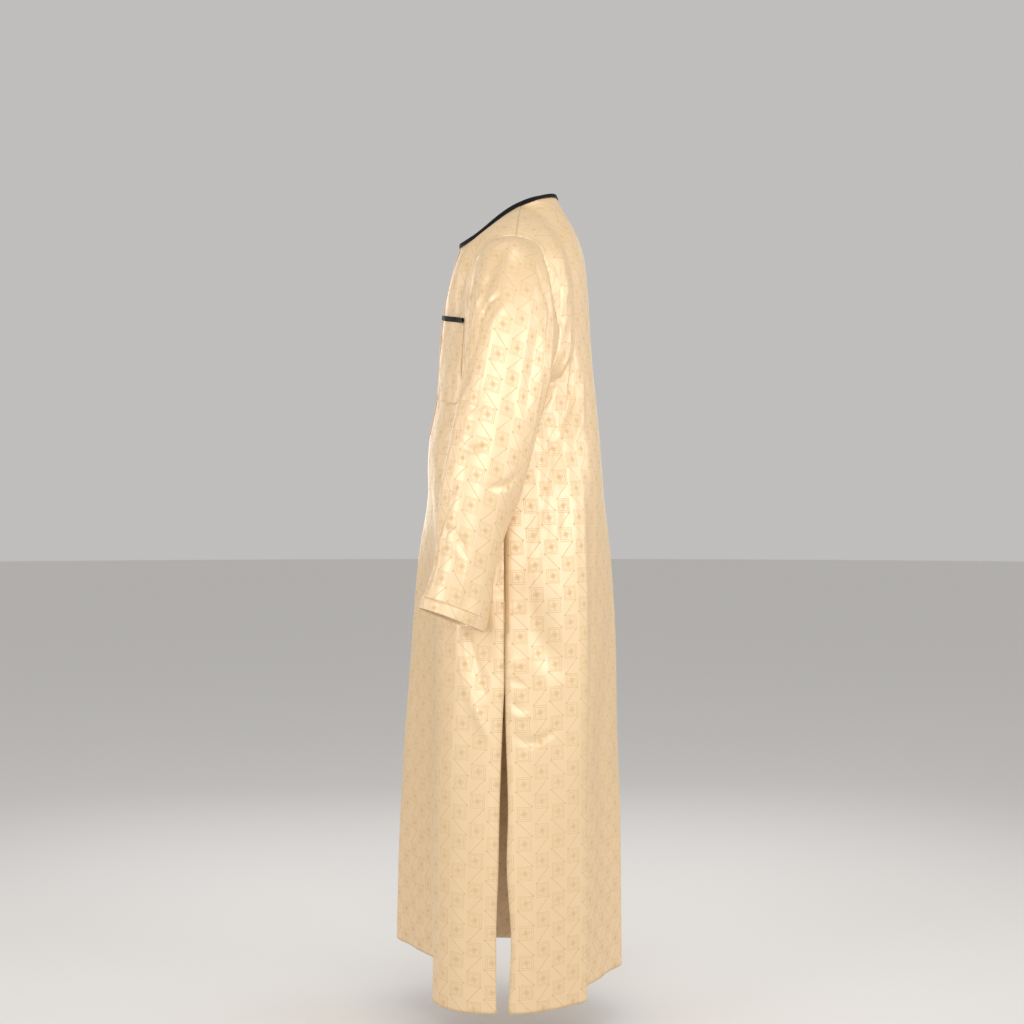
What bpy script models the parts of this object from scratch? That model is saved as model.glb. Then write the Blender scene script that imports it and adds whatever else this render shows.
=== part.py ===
"""A long thobe robe of satin jacquard, in the hollow form that it has when it is worn.

Units are metres, +Z is up. The origin is the centre of the neck opening, at the height of the
neck points of the shoulder seams. The robe faces -Y, and its left side is +X.
"""

import math

import bpy
import numpy as np

# Driving sizes of the cloth
CLOTH = 0.0015          # wall of the satin
SEAM_GAP = 0.0005       # between pieces that are sewn edge to edge
LYING_GAP = 0.0006      # between the front and the placket on it
POCKET_GAP = 0.0020     # between the rounded chest and the pocket on it
NECK_GAP = 0.0010       # between the neckline and its binding, whose walls lean differently
TRIM = 0.0013           # wall of the pocket, the placket and the trims on them
HEM_FOLD = 0.0022       # wall of a hem that is turned up twice

# Neck opening: an oval that leans forward
NECK_HALF_WIDTH = 0.085
NECK_HALF_LENGTH = 0.088
NECK_CENTRE_Y = 0.0023
NECK_CENTRE_Z = -0.0085
NECK_LEAN = 0.52        # rise per metre towards the back
NECK_HUMP = 0.006       # the sides of the oval arch up
NECK_SEAM_TURN = math.radians(103)   # where the shoulder seam meets the neck, from the front
NECK_DIP = 0.0135       # how much lower the cloth lies beside the neck's front, above the collarbone
NECK_DIP_Y = -0.052     # where it is deepest
NECK_DIP_LENGTH = 0.045
BINDING_LIFT = 0.8      # how far the front of the binding stands up: 0 lies in line with the cloth
BINDING_WIDTH = 0.007

# Body
HEM_Z = -1.4157
UNDERARM_Z = -0.335
SHARE_OF_NECK = 0.5     # of a panel's columns at the top; the others end at the shoulder
SHOULDER_ARCH = 0.006
SHOULDER_GAP = 0.0010   # the two walls meet at a slight ridge here
SHOULDER_PULL = 0.56    # how far the cloth runs level over the shoulder before it falls
NECK_FADE = 0.75        # how far down the armhole the neckline still shapes the panel
SHOULDER_FADE = 0.62    # how far down the armhole the shoulder still shapes the panel
EDGE_CROWDING = 0.6     # columns stand closer towards a panel's edges
TOP_CROWDING = 1.35     # rows stand closer towards the shoulder

# Chest pocket and front placket
POCKET_INNER_X = 0.036
POCKET_WIDTH = 0.124
POCKET_FLARE = 0.008    # how much wider its foot is
POCKET_TOP_Z = -0.190
POCKET_TILT = 0.160     # fall of the top edge per metre outwards
POCKET_HEIGHT = 0.154
POCKET_CORNER = 0.026
POCKET_BAR = 0.008
POCKET_BAR_WALL = 0.0018
PLACKET_WIDTH = 0.030
PLACKET_END_Z = -0.408
CUFF_DEPTH = 0.020

# Counts of faces
PANEL_COLUMNS = 28
ARMHOLE_ROWS = 11
SKIRT_ROWS = 18
SLEEVE_COLUMNS = 2 * ARMHOLE_ROWS
SLEEVE_ROWS = 21

# The middle of the body at each height, and how much of the section has turned into the hem's
BODY = [
    # z, front_y, back_y, side_x, squareness, hem_share
    (0.036, -0.080, 0.0915, 0.222, 2.0, 0.00),
    (-0.002, -0.083, 0.1114, 0.222, 2.0, 0.00),
    (-0.021, -0.084, 0.1234, 0.222, 2.0, 0.00),
    (-0.054, -0.0865, 0.1385, 0.222, 2.0, 0.00),
    (-0.090, -0.0965, 0.1470, 0.221, 2.0, 0.00),
    (-0.137, -0.1077, 0.1512, 0.220, 2.0, 0.00),
    (-0.193, -0.1208, 0.1543, 0.219, 1.9, 0.00),
    (-0.250, -0.1264, 0.1575, 0.218, 1.85, 0.00),
    (-0.335, -0.1304, 0.1642, 0.218, 1.85, 0.00),
    (-0.440, -0.1480, 0.1726, 0.222, 2.15, 0.03),
    (-0.534, -0.1515, 0.1780, 0.226, 2.4, 0.25),
    (-0.626, -0.1500, 0.1828, 0.229, 2.5, 0.46),
    (-0.720, -0.1470, 0.1876, 0.232, 2.6, 0.58),
    (-0.883, -0.1450, 0.1940, 0.237, 2.6, 0.72),
    (-1.094, -0.1490, 0.2015, 0.243, 2.6, 0.87),
    (-1.260, -0.1530, 0.2098, 0.247, 2.6, 0.95),
    (HEM_Z, -0.1550, 0.2150, 0.250, 2.6, 1.00),
]

# The side seam runs down to the slit, whose two edges then part. The right one is drawn
# forward, as in a step.
SLIT_TOP_Z = -0.827
SIDE = [
    # z, front_y, back_y, right_forward
    (UNDERARM_Z, 0.0020, 0.0020, 0.000),
    (-0.450, -0.0015, -0.0015, 0.002),
    (-0.600, -0.0037, -0.0037, 0.008),
    (SLIT_TOP_Z, -0.0037, -0.0037, 0.020),
    (-0.910, -0.0073, -0.0030, 0.026),
    (-1.070, -0.0128, 0.0012, 0.036),
    (-1.160, -0.0145, -0.0010, 0.041),
    (-1.290, -0.0186, 0.0062, 0.047),
    (HEM_Z, -0.0182, 0.0015, 0.050),
]

# The hem of each panel from the left side (across 1) to the right side (across -1)
FRONT_HEM = [
    # across, x, y, lift
    (1.00, 0.250, -0.0182, 0.000),
    (0.82, 0.234, -0.081, 0.000),
    (0.66, 0.208, -0.114, 0.000),
    (0.50, 0.160, -0.134, 0.000),
    (0.36, 0.112, -0.123, 0.002),
    (0.22, 0.066, -0.114, 0.009),
    (0.08, 0.022, -0.124, 0.019),
    (-0.06, -0.020, -0.1435, 0.025),
    (-0.26, -0.088, -0.185, 0.026),
    (-0.45, -0.156, -0.2185, 0.026),
    (-0.60, -0.200, -0.205, 0.024),
    (-0.76, -0.232, -0.160, 0.016),
    (-0.88, -0.246, -0.115, 0.006),
    (-1.00, -0.250, -0.068, 0.000),
]
BACK_HEM = [
    # across, x, y, lift
    (1.00, 0.250, 0.0015, 0.000),
    (0.85, 0.2304, 0.0533, 0.000),
    (0.69, 0.2012, 0.1054, 0.000),
    (0.54, 0.170, 0.139, 0.000),
    (0.42, 0.127, 0.129, 0.000),
    (0.28, 0.082, 0.148, 0.000),
    (0.12, 0.034, 0.171, 0.000),
    (-0.05, -0.015, 0.195, 0.000),
    (-0.21, -0.064, 0.217, 0.000),
    (-0.38, -0.120, 0.210, 0.000),
    (-0.52, -0.163, 0.178, 0.000),
    (-0.68, -0.203, 0.128, 0.000),
    (-0.84, -0.238, 0.052, 0.000),
    (-1.00, -0.250, -0.048, 0.000),
]

# The left armhole, from the end of the shoulder seam to the underarm
FRONT_ARMHOLE = [
    # x, y, z
    (0.2220, 0.0154, -0.0733),
    (0.2210, -0.0120, -0.0752),
    (0.2180, -0.0373, -0.0869),
    (0.2140, -0.0498, -0.1040),
    (0.2070, -0.0580, -0.1330),
    (0.2000, -0.0650, -0.1845),
    (0.1970, -0.0710, -0.2300),
    (0.1990, -0.0660, -0.2750),
    (0.2080, -0.0400, -0.3150),
    (0.2180, 0.0020, UNDERARM_Z),
]
BACK_ARMHOLE = [
    # x, y, z
    (0.2220, 0.0154, -0.0733),
    (0.2210, 0.0380, -0.0790),
    (0.2170, 0.0569, -0.0900),
    (0.2120, 0.0680, -0.1250),
    (0.2050, 0.0790, -0.1850),
    (0.2000, 0.0910, -0.2400),
    (0.2020, 0.0820, -0.2850),
    (0.2100, 0.0480, -0.3200),
    (0.2180, 0.0020, UNDERARM_Z),
]

# The left sleeve: four points of each ring. The rings stand upright at the armhole and lie
# almost level at the wrist.
SLEEVE = [
    # along, outer_x, outer_z, inner_x, inner_z, front_y, front_z, back_y, back_z
    (0.00, 0.2225, -0.0733, 0.2185, -0.3350, -0.0710, -0.2300, 0.0910, -0.2400),
    (0.07, 0.2680, -0.0880, 0.2290, -0.3400, -0.0710, -0.2350, 0.0910, -0.2450),
    (0.15, 0.3060, -0.1260, 0.2370, -0.3540, -0.0715, -0.2600, 0.0870, -0.2680),
    (0.26, 0.3310, -0.1950, 0.2415, -0.3860, -0.0745, -0.3150, 0.0750, -0.3200),
    (0.38, 0.3430, -0.2800, 0.2440, -0.4300, -0.0835, -0.3800, 0.0580, -0.3850),
    (0.50, 0.3490, -0.3700, 0.2460, -0.4800, -0.0985, -0.4520, 0.0420, -0.4550),
    (0.63, 0.3520, -0.4600, 0.2480, -0.5350, -0.1120, -0.5200, 0.0240, -0.5220),
    (0.76, 0.3540, -0.5450, 0.2500, -0.5950, -0.1190, -0.5850, -0.0020, -0.5880),
    (0.88, 0.3545, -0.6300, 0.2520, -0.6600, -0.1240, -0.6450, -0.0205, -0.6600),
    (1.00, 0.3540, -0.7100, 0.2540, -0.7240, -0.1410, -0.6970, -0.0325, -0.7375),
]
CUFF_LEAN = math.radians(21)    # the forearm slants forward

# Large soft folds of the sleeves: a path through three places, turn in degrees from the outer
# line towards the back
SLEEVE_FOLDS = [
    # name, along_1, turn_1, along_2, turn_2, along_3, turn_3, half_width, depth
    ("front fold", 0.10, -64, 0.22, -66, 0.36, -62, 0.020, 0.0080),
    ("second front fold", 0.12, -22, 0.22, -40, 0.40, -52, 0.020, 0.0070),
    ("rear fold", 0.06, 28, 0.20, 52, 0.45, 48, 0.022, 0.0060),
    ("forearm fold", 0.70, -40, 0.76, -58, 0.80, -72, 0.020, 0.0060),
]
SLEEVE_METRES = (0.68, 0.07)    # of the sleeve along it, and round it in a radian

# Soft folds of the body: a path across and down each panel
BODY_FOLDS = [
    # panel, across_1, down_1, across_2, down_2, across_3, down_3, half_width, depth
    ("back", 0.60, 0.80, 0.72, 1.08, 0.70, 1.22, 0.030, 0.0080),
    ("front", 0.80, 1.30, 0.87, 1.38, 0.92, 1.46, 0.026, 0.0080),
    ("back", 0.93, 1.34, 0.85, 1.41, 0.78, 1.45, 0.028, 0.0070),
    ("front", -0.80, 1.28, -0.88, 1.38, -0.92, 1.47, 0.026, 0.0080),
    ("back", -0.60, 0.85, -0.70, 1.08, -0.72, 1.20, 0.030, 0.0080),
]
PANEL_METRES = (0.33, 1.08)     # of a panel from its centre to its edge, and of the skirt

SATIN = ("satin_jacquard", (0.86, 0.72, 0.50), 0.34)
BLACK = ("black_satin_binding", (0.012, 0.011, 0.012), 0.45)


def columns(table):
    """A table's columns as arrays."""
    return [np.array(column, float) for column in zip(*table)]


def smooth(x, xs, ys):
    """A smooth curve through the points (xs, ys) that never swings past them, read at x."""
    xs, ys = np.asarray(xs, float), np.asarray(ys, float)
    if xs[0] > xs[-1]:
        xs, ys = xs[::-1], ys[::-1]
    step = np.diff(xs)
    slope = np.diff(ys) / step
    tangent = np.zeros(len(xs))
    tangent[0], tangent[-1] = slope[0], slope[-1]
    same = slope[:-1] * slope[1:] > 0
    weight_a, weight_b = 2 * step[1:] + step[:-1], step[1:] + 2 * step[:-1]
    safe_a = np.where(same, slope[:-1], 1.0)
    safe_b = np.where(same, slope[1:], 1.0)
    inner = (weight_a + weight_b) / (weight_a / safe_a + weight_b / safe_b)
    tangent[1:-1] = np.where(same, inner, 0.0)
    x = np.clip(np.asarray(x, float), xs[0], xs[-1])
    k = np.clip(np.searchsorted(xs, x) - 1, 0, len(step) - 1)
    h = step[k]
    t = (x - xs[k]) / h
    return (
        ys[k] * (1 + 2 * t) * (1 - t) ** 2
        + tangent[k] * h * t * (1 - t) ** 2
        + ys[k + 1] * t * t * (3 - 2 * t)
        + tangent[k + 1] * h * t * t * (t - 1)
    )


def along(points, share):
    """The place at a share of a line's length, on a smooth curve through its points."""
    points = np.array(points, float)
    length = np.concatenate([[0], np.cumsum(np.linalg.norm(np.diff(points, axis=0), axis=1))])
    share = np.asarray(share, float) * length[-1]
    return np.stack([smooth(share, length, points[:, k]) for k in range(3)], -1)


def ease(t):
    """From 0 to 1 with a level start and end."""
    t = np.clip(t, 0.0, 1.0)
    return t * t * (3 - 2 * t)


def neck_loop(turn, out=0.0, down=0.0):
    """A point of the neck oval, from the centre front at turn 0 towards the robe's left."""
    turn = np.asarray(turn, float)
    y = NECK_CENTRE_Y - (NECK_HALF_LENGTH + out) * np.cos(turn)
    z = NECK_CENTRE_Z + NECK_LEAN * (y - NECK_CENTRE_Y) + NECK_HUMP * np.sin(turn) ** 2
    return np.stack([(NECK_HALF_WIDTH + out) * np.sin(turn), y, z - down], -1)


def neck_edge(turn, width):
    """The neck oval moved outwards over the cloth by a width."""
    sideways = np.abs(np.sin(turn))
    out = width * (0.30 + 0.56 * sideways)
    down = width * (0.78 - 0.38 * sideways)
    y_down = NECK_LEAN * out * np.cos(turn)
    return neck_loop(turn, out, down - y_down)


def neckline_and_shoulder(across, back):
    """The top edge of a panel: neckline in the middle, shoulder seams on both sides."""
    size = np.abs(across)
    side = np.where(across < 0, -1.0, 1.0)
    seam_turn = math.pi - NECK_SEAM_TURN if back else NECK_SEAM_TURN
    turn = np.minimum(size / SHARE_OF_NECK, 1.0) * seam_turn
    if back:
        turn = math.pi - turn
    neck = neck_edge(turn, BINDING_WIDTH + NECK_GAP)
    corner = neck_edge(np.array(NECK_SEAM_TURN), BINDING_WIDTH + NECK_GAP)
    tip = np.array(FRONT_ARMHOLE[0], float)
    t = np.clip((size - SHARE_OF_NECK) / (1 - SHARE_OF_NECK), 0, 1)[..., None]
    seam = corner + (tip - corner) * t
    seam[..., 2] += SHOULDER_ARCH * np.sin(math.pi * t[..., 0])
    seam[..., 1] += (0.5 if back else -0.5) * SHOULDER_GAP
    top = np.where((size < SHARE_OF_NECK - 1e-6)[..., None], neck, seam)
    top[..., 0] *= side
    return top


def neck_dip(points):
    """How much lower points of the front lie beside the neck than a flat neckline's."""
    x, y, z = np.abs(points[..., 0]), points[..., 1], points[..., 2]
    lengthways = np.exp(-((y - NECK_DIP_Y) / NECK_DIP_LENGTH) ** 2)
    sideways = (1 - np.exp(-(x / 0.028) ** 2)) * (1 - ease((x - 0.10) / 0.07))
    return NECK_DIP * lengthways * sideways * ease((z + 0.14) / 0.10)


def body_sizes(z):
    """The body's sizes at a height, read from the BODY table."""
    cols = columns(BODY)
    return [smooth(z, cols[0], column) for column in cols[1:]]


def section(across, centre, edge, squareness, roundness):
    """A row of a panel from its centre line to its edge; roundness 1 turns the edge fully."""
    size = np.abs(across)
    side = np.where(across < 0, -1.0, 1.0)
    crowding = EDGE_CROWDING + (1 - EDGE_CROWDING) * roundness
    reach = np.clip(size + crowding * (np.sin(size * math.pi / 2) - size), 0, 1)
    oval = (1 - reach ** squareness) ** (1 / squareness)
    wave = 0.5 + 0.5 * np.cos(math.pi * reach)
    depth = (1 - roundness) * wave + roundness * oval
    x = side * reach * edge[..., 0]
    y = edge[..., 1] + (centre[..., 1] - edge[..., 1]) * depth
    z = centre[..., 2] + (edge[..., 2] - centre[..., 2]) * reach ** 2
    return np.stack([x, y, z], -1)


def armhole_rows(across, down, back):
    """The part of a panel beside the armhole: down 0 is its top row, 1 the underarm."""
    table = BACK_ARMHOLE if back else FRONT_ARMHOLE
    edge = along(table, down)
    top_z = neck_edge(np.array(math.pi if back else 0.0), BINDING_WIDTH + NECK_GAP)[2]
    centre_z = top_z + (UNDERARM_Z - top_z) * down
    front_y, back_y, _, squareness, _ = body_sizes(centre_z)
    centre = np.stack([0 * down, back_y if back else front_y, centre_z], -1)
    start = 0.55 if back else 0.0
    roundness = start + (1 - start) * ease((down - 0.55) / 0.45)
    return section(across, centre, edge, squareness, roundness)


def skirt_rows(across, down, back):
    """The part of a panel below the underarm: down 1 is the underarm, 2 the hem."""
    z = UNDERARM_Z + (HEM_Z - UNDERARM_Z) * (down - 1)
    front_y, back_y, side_x, squareness, hem_share = body_sizes(z)
    side_z, side_front, side_back, right_forward = columns(SIDE)
    edge_y = smooth(z, side_z, side_back if back else side_front)
    edge_y = edge_y - smooth(z, side_z, right_forward) * (across < 0)
    edge = np.stack([side_x, edge_y, z], -1)
    centre = np.stack([0 * z, back_y if back else front_y, z], -1)
    plain = section(across, centre, edge, squareness, np.ones_like(z))
    at, hem_x, hem_y, hem_lift = columns(BACK_HEM if back else FRONT_HEM)
    hem = np.stack([smooth(across, at, hem_x), smooth(across, at, hem_y)], -1)
    share = (hem_share * (1 - np.abs(across) ** 6))[..., None]
    plain[..., :2] += (hem - plain[..., :2]) * share
    plain[..., 2] += smooth(across, at, hem_lift) * np.clip(down - 1, 0, 1) ** 2
    return plain


def fold_depth(u, v, path, half_width, scale):
    """How deep a fold is at (u, v): a soft trough along a path that fades at both ends."""
    path = np.array(path, float)
    fine = np.linspace(0, 1, 9)
    centre = np.stack([smooth(fine, [0, 0.5, 1], path[:, k]) for k in range(2)], -1)
    gap = np.stack([u, v], -1)[..., None, :] - centre
    gap = gap * np.array(scale)
    far = np.sqrt((gap ** 2).sum(-1))
    nearest = far.argmin(-1)
    across_it = far.min(-1) / half_width
    fade = np.sin(math.pi * np.clip(0.08 + 0.84 * fine[nearest], 0, 1)) ** 0.7
    return np.exp(-1.6 * across_it ** 2) * fade


def normals(grid, wrap):
    """Outward directions of a grid of points, from its neighbours along rows and columns."""
    if wrap:
        along_row = np.roll(grid, -1, 1) - np.roll(grid, 1, 1)
    else:
        along_row = np.gradient(grid, axis=1)
    along_column = np.gradient(grid, axis=0)
    direction = np.cross(along_row, along_column)
    return direction / np.maximum(np.linalg.norm(direction, axis=-1, keepdims=True), 1e-12)


def over_shoulder(across, down, back):
    """The rows beside the shoulder: level at the seam, then falling into the rows below."""
    size = np.abs(across)[..., None]
    side = np.where(across < 0, -1.0, 1.0)
    step = 1e-3
    still = np.zeros_like(down)
    corner = neck_edge(np.array(NECK_SEAM_TURN), BINDING_WIDTH + NECK_GAP)
    seam = np.array(FRONT_ARMHOLE[0]) - corner
    seam = seam / np.linalg.norm(seam)
    outwards = 0.8 * (1 - np.clip((size - SHARE_OF_NECK) / (1 - SHARE_OF_NECK), 0, 1))
    level = np.array([0.0, 1.0 if back else -1.0, 0.0])
    pull = SHOULDER_PULL * (outwards * seam + level) / np.sqrt(1 + outwards ** 2)
    pull[..., 0] *= side
    first = armhole_rows(across, still, back)
    fall = (armhole_rows(across, still + step, back) - first) / step
    start = fall + (pull - fall) * ease(size / SHARE_OF_NECK)
    low = armhole_rows(across, still + SHOULDER_FADE, back)
    low_fall = (armhole_rows(across, still + SHOULDER_FADE + step, back) - low) / step
    t = np.clip(down / SHOULDER_FADE, 0, 1)[..., None]
    return (
        neckline_and_shoulder(across, back) * (1 + 2 * t) * (1 - t) ** 2
        + start * SHOULDER_FADE * t * (1 - t) ** 2
        + low * t * t * (3 - 2 * t)
        + low_fall * SHOULDER_FADE * t * t * (t - 1)
    )


def panel_point(across, down, back):
    """A point of a panel's outer face without its small folds."""
    across, down = np.broadcast_arrays(np.asarray(across, float), np.asarray(down, float))
    low_part = np.clip(down, 0, 1)
    upper = armhole_rows(across, low_part, back)
    top = neckline_and_shoulder(across, back)
    first = armhole_rows(across, np.zeros_like(down), back)
    t = np.clip(down / NECK_FADE, 0, 1)
    fade = np.stack([(1 - t) ** 2, (1 - t) ** 2.4, 1 - ease(t)], -1)
    upper = upper + (top - first) * fade
    size = np.abs(across)
    share = ease(size / 0.38) * (1 - ease((size - 0.80) / 0.20)) * (down < SHOULDER_FADE)
    upper = upper + (over_shoulder(across, low_part, back) - upper) * share[..., None]
    lower = skirt_rows(across, np.clip(down, 1, 2), back)
    upper[..., 2] -= neck_dip(upper)
    return np.where((down <= 1)[..., None], upper, lower)


def folded_panel(across, down, back):
    """The grid of a panel's outer face with its folds pressed in."""
    grid = panel_point(across, down, back)
    out = normals(grid, False) * (-1 if back else 1)
    for name, *path, half_width, depth in BODY_FOLDS:
        if (name == "back") == back:
            places = [path[0:2], path[2:4], path[4:6]]
            press = depth * fold_depth(across, down, places, half_width, PANEL_METRES)
            grid = grid - out * press[..., None]
    return grid


def sleeve_ring(share, turn):
    """A point of the left sleeve; turn 0 is the outer line, and a positive turn goes back."""
    cols = columns(SLEEVE)
    outer_x, outer_z, inner_x, inner_z, front_y, front_z, back_y, back_z = [
        smooth(share, cols[0], column) for column in cols[1:]
    ]
    middle_y = (front_y + back_y) / 2
    outer = np.stack([outer_x, middle_y, outer_z], -1)
    inner = np.stack([inner_x, middle_y, inner_z], -1)
    middle_x = (outer_x + inner_x) / 2
    front = np.stack([middle_x, front_y, front_z], -1)
    back = np.stack([middle_x, back_y, back_z], -1)
    c, s = np.cos(turn)[..., None], np.sin(turn)[..., None]
    middle = (outer + inner) / 2 * c ** 2 + (front + back) / 2 * s ** 2
    return middle + (outer - inner) / 2 * c + (back - front) / 2 * s


def armhole_loop(turn):
    """The armhole at a turn, where the sleeve is set in, moved out by the seam's gap."""
    share = np.abs(np.arctan2(np.sin(turn), np.cos(turn))) / math.pi
    share = share ** TOP_CROWDING
    back = np.sin(turn)[..., None] > 0
    loop = np.where(back, along(BACK_ARMHOLE, share), along(FRONT_ARMHOLE, share))
    loop[..., 0] += SEAM_GAP
    return loop


def sleeve_point(share, turn):
    """The sleeve's outer face: its rings, drawn on to the armhole at the top."""
    share, turn = np.broadcast_arrays(np.asarray(share, float), np.asarray(turn, float))
    ring = sleeve_ring(share, turn)
    first = sleeve_ring(np.zeros_like(share), turn)
    fade = (1 - ease(share / 0.30))[..., None]
    return ring + (armhole_loop(turn) - first) * fade


def folded_sleeve(share, turn):
    """The grid of the left sleeve's outer face with its folds pressed in."""
    grid = sleeve_point(share, turn)
    out = -normals(grid, True)
    angle = np.arctan2(np.sin(turn), np.cos(turn))
    for _, *path, half_width, depth in SLEEVE_FOLDS:
        places = [(path[k], math.radians(path[k + 1])) for k in (0, 2, 4)]
        press = depth * fold_depth(share, angle, places, half_width, SLEEVE_METRES)
        grid = grid - out * press[..., None]
    return grid


def make_material(name, colour, roughness):
    """A Principled material, made once."""
    material = bpy.data.materials.get(name) or bpy.data.materials.new(name)
    material.use_nodes = True
    shader = material.node_tree.nodes["Principled BSDF"]
    shader.inputs["Base Color"].default_value = (*colour, 1)
    shader.inputs["Roughness"].default_value = roughness
    shader.inputs["Metallic"].default_value = 0.0
    material.diffuse_color = (*colour, 1)
    return material


def make_piece(name, grid, finish, wall, wrap=False, flip=False):
    """A sewn piece: a loft through the rows of a grid, with a wall added on its inner side."""
    rows, cols = grid.shape[:2]
    faces = []
    for i in range(rows - 1):
        for j in range(cols if wrap else cols - 1):
            k = (j + 1) % cols
            face = (i * cols + j, i * cols + k, (i + 1) * cols + k, (i + 1) * cols + j)
            faces.append(face[::-1] if flip else face)
    mesh = bpy.data.meshes.new(name)
    mesh.from_pydata(grid.reshape(-1, 3).tolist(), [], faces)
    mesh.shade_smooth()
    piece = bpy.data.objects.new(name, mesh)
    ROBE.objects.link(piece)
    material_name, colour, roughness = finish
    mesh.materials.append(make_material(f"{name}_{material_name}", colour, roughness))
    solidify = piece.modifiers.new("wall", "SOLIDIFY")
    solidify.thickness = wall
    solidify.offset = -1.0
    solidify.use_even_offset = False
    return piece


def mirrored(grid):
    """The grid of the right side's piece."""
    return grid * np.array([-1.0, 1.0, 1.0])


def make_panels():
    """The front and the back, cut in one from shoulder to hem."""
    across = np.linspace(1, -1, PANEL_COLUMNS + 1)
    upper = np.linspace(0, 1, ARMHOLE_ROWS + 1) ** TOP_CROWDING
    lower = np.linspace(1, 2, SKIRT_ROWS + 1)[1:]
    down = np.concatenate([upper, lower])
    across, down = np.meshgrid(across, down)
    for name, back in (("front_panel", False), ("back_panel", True)):
        grid = folded_panel(across, down, back)
        side = np.where(np.abs(across) > 0.999, 0.5 * SEAM_GAP, 0.0)
        side = np.where(down >= 1, side, 0.0)
        grid[..., 1] += side if back else -side
        make_piece(name, grid, SATIN, CLOTH, flip=back)


def make_sleeves():
    """Both sleeves and the hems turned up at their ends."""
    turn = np.linspace(0, 2 * math.pi, SLEEVE_COLUMNS, endpoint=False)
    share = np.linspace(0, 1, SLEEVE_ROWS + 1) ** 0.9
    grid = folded_sleeve(*np.meshgrid(share, turn, indexing="ij"))
    end = grid[-1]
    fall = np.array([0.0, -math.sin(CUFF_LEAN), -math.cos(CUFF_LEAN)])
    centre = end.mean(0)
    proud = 1 + (HEM_FOLD - CLOTH) / np.linalg.norm(end - centre, axis=1, keepdims=True)
    band = centre + (end - centre) * proud
    depths = SEAM_GAP + CUFF_DEPTH * np.array([0.0, 0.5, 1.0])
    cuff = np.stack([band + fall * depth for depth in depths])
    for side, hand in (("left", lambda g: g), ("right", mirrored)):
        make_piece(f"{side}_sleeve", hand(grid), SATIN, CLOTH, True, side == "left")
        make_piece(f"{side}_cuff_hem", hand(cuff), SATIN, HEM_FOLD, True, side == "left")


def make_neck_binding():
    """The folded binding round the neck, edge to edge with the panels' necklines."""
    count = round(PANEL_COLUMNS * SHARE_OF_NECK)
    step = 1e-3
    edges, ways = [], []
    for back in (False, True):
        across = np.linspace(-1, 1, count + 1) * SHARE_OF_NECK
        across = -across if back else across
        inside = np.clip(across, step - SHARE_OF_NECK, SHARE_OF_NECK - step)
        still = np.zeros_like(across)
        here = panel_point(across, still, back)
        along_neck = panel_point(inside + step, still, back)
        along_neck -= panel_point(inside - step, still, back)
        down = panel_point(across, still + step, back) - here
        out = np.cross(along_neck, down)
        way = np.cross(out, along_neck)
        way /= np.linalg.norm(way, axis=-1, keepdims=True)
        way *= np.sign((way * down).sum(-1, keepdims=True))
        lift = BINDING_LIFT * (1 - ease((here[..., 1:2] - 0.02) / 0.05))
        way = way * (1 - lift) + np.array([0.0, 0.0, -1.0]) * lift
        way /= np.linalg.norm(way, axis=-1, keepdims=True)
        edges.append(here)
        ways.append(way)
    edges, ways = (
        np.concatenate([front[:1] / 2 + back[-1:] / 2, front[1:-1],
                        front[-1:] / 2 + back[:1] / 2, back[1:-1]])
        for front, back in (edges, ways)
    )
    gap = np.full((len(edges), 1), NECK_GAP)
    gap[[0, count]] *= 2.0
    gap[[-1, count + 1]] *= 1.8
    grid = np.stack([edges - ways * (gap + BINDING_WIDTH * t) for t in (1.0, 0.5, 0.0)])
    make_piece("neck_binding", grid, BLACK, CLOTH, True, True)


def on_front(x, z):
    """Where a point of the front panel lies, as (across, down), from its x and z."""
    across, down = x / 0.21, np.clip((z + 0.06) / (UNDERARM_Z + 0.06), 0.05, 1.9)
    step = 1e-4
    for _ in range(12):
        here = panel_point(across, down, False)
        by_across = (panel_point(across + step, down, False) - here) / step
        by_down = (panel_point(across, down + step, False) - here) / step
        miss_x, miss_z = x - here[..., 0], z - here[..., 2]
        size = by_across[..., 0] * by_down[..., 2] - by_down[..., 0] * by_across[..., 2]
        across = across + (miss_x * by_down[..., 2] - by_down[..., 0] * miss_z) / size
        down = down + (by_across[..., 0] * miss_z - miss_x * by_across[..., 2]) / size
    return across, down


def lying_on_front(x, z, lift):
    """A grid of points that lies on the front panel, moved out from it by a lift."""
    across, down = on_front(x, z)
    step = 1e-3
    here = panel_point(across, down, False)
    by_across = panel_point(across - step, down, False) - here
    by_down = panel_point(across, down + step, False) - here
    out = np.cross(by_across, by_down)
    out /= np.linalg.norm(out, axis=-1, keepdims=True)
    return here + out * lift


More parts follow.
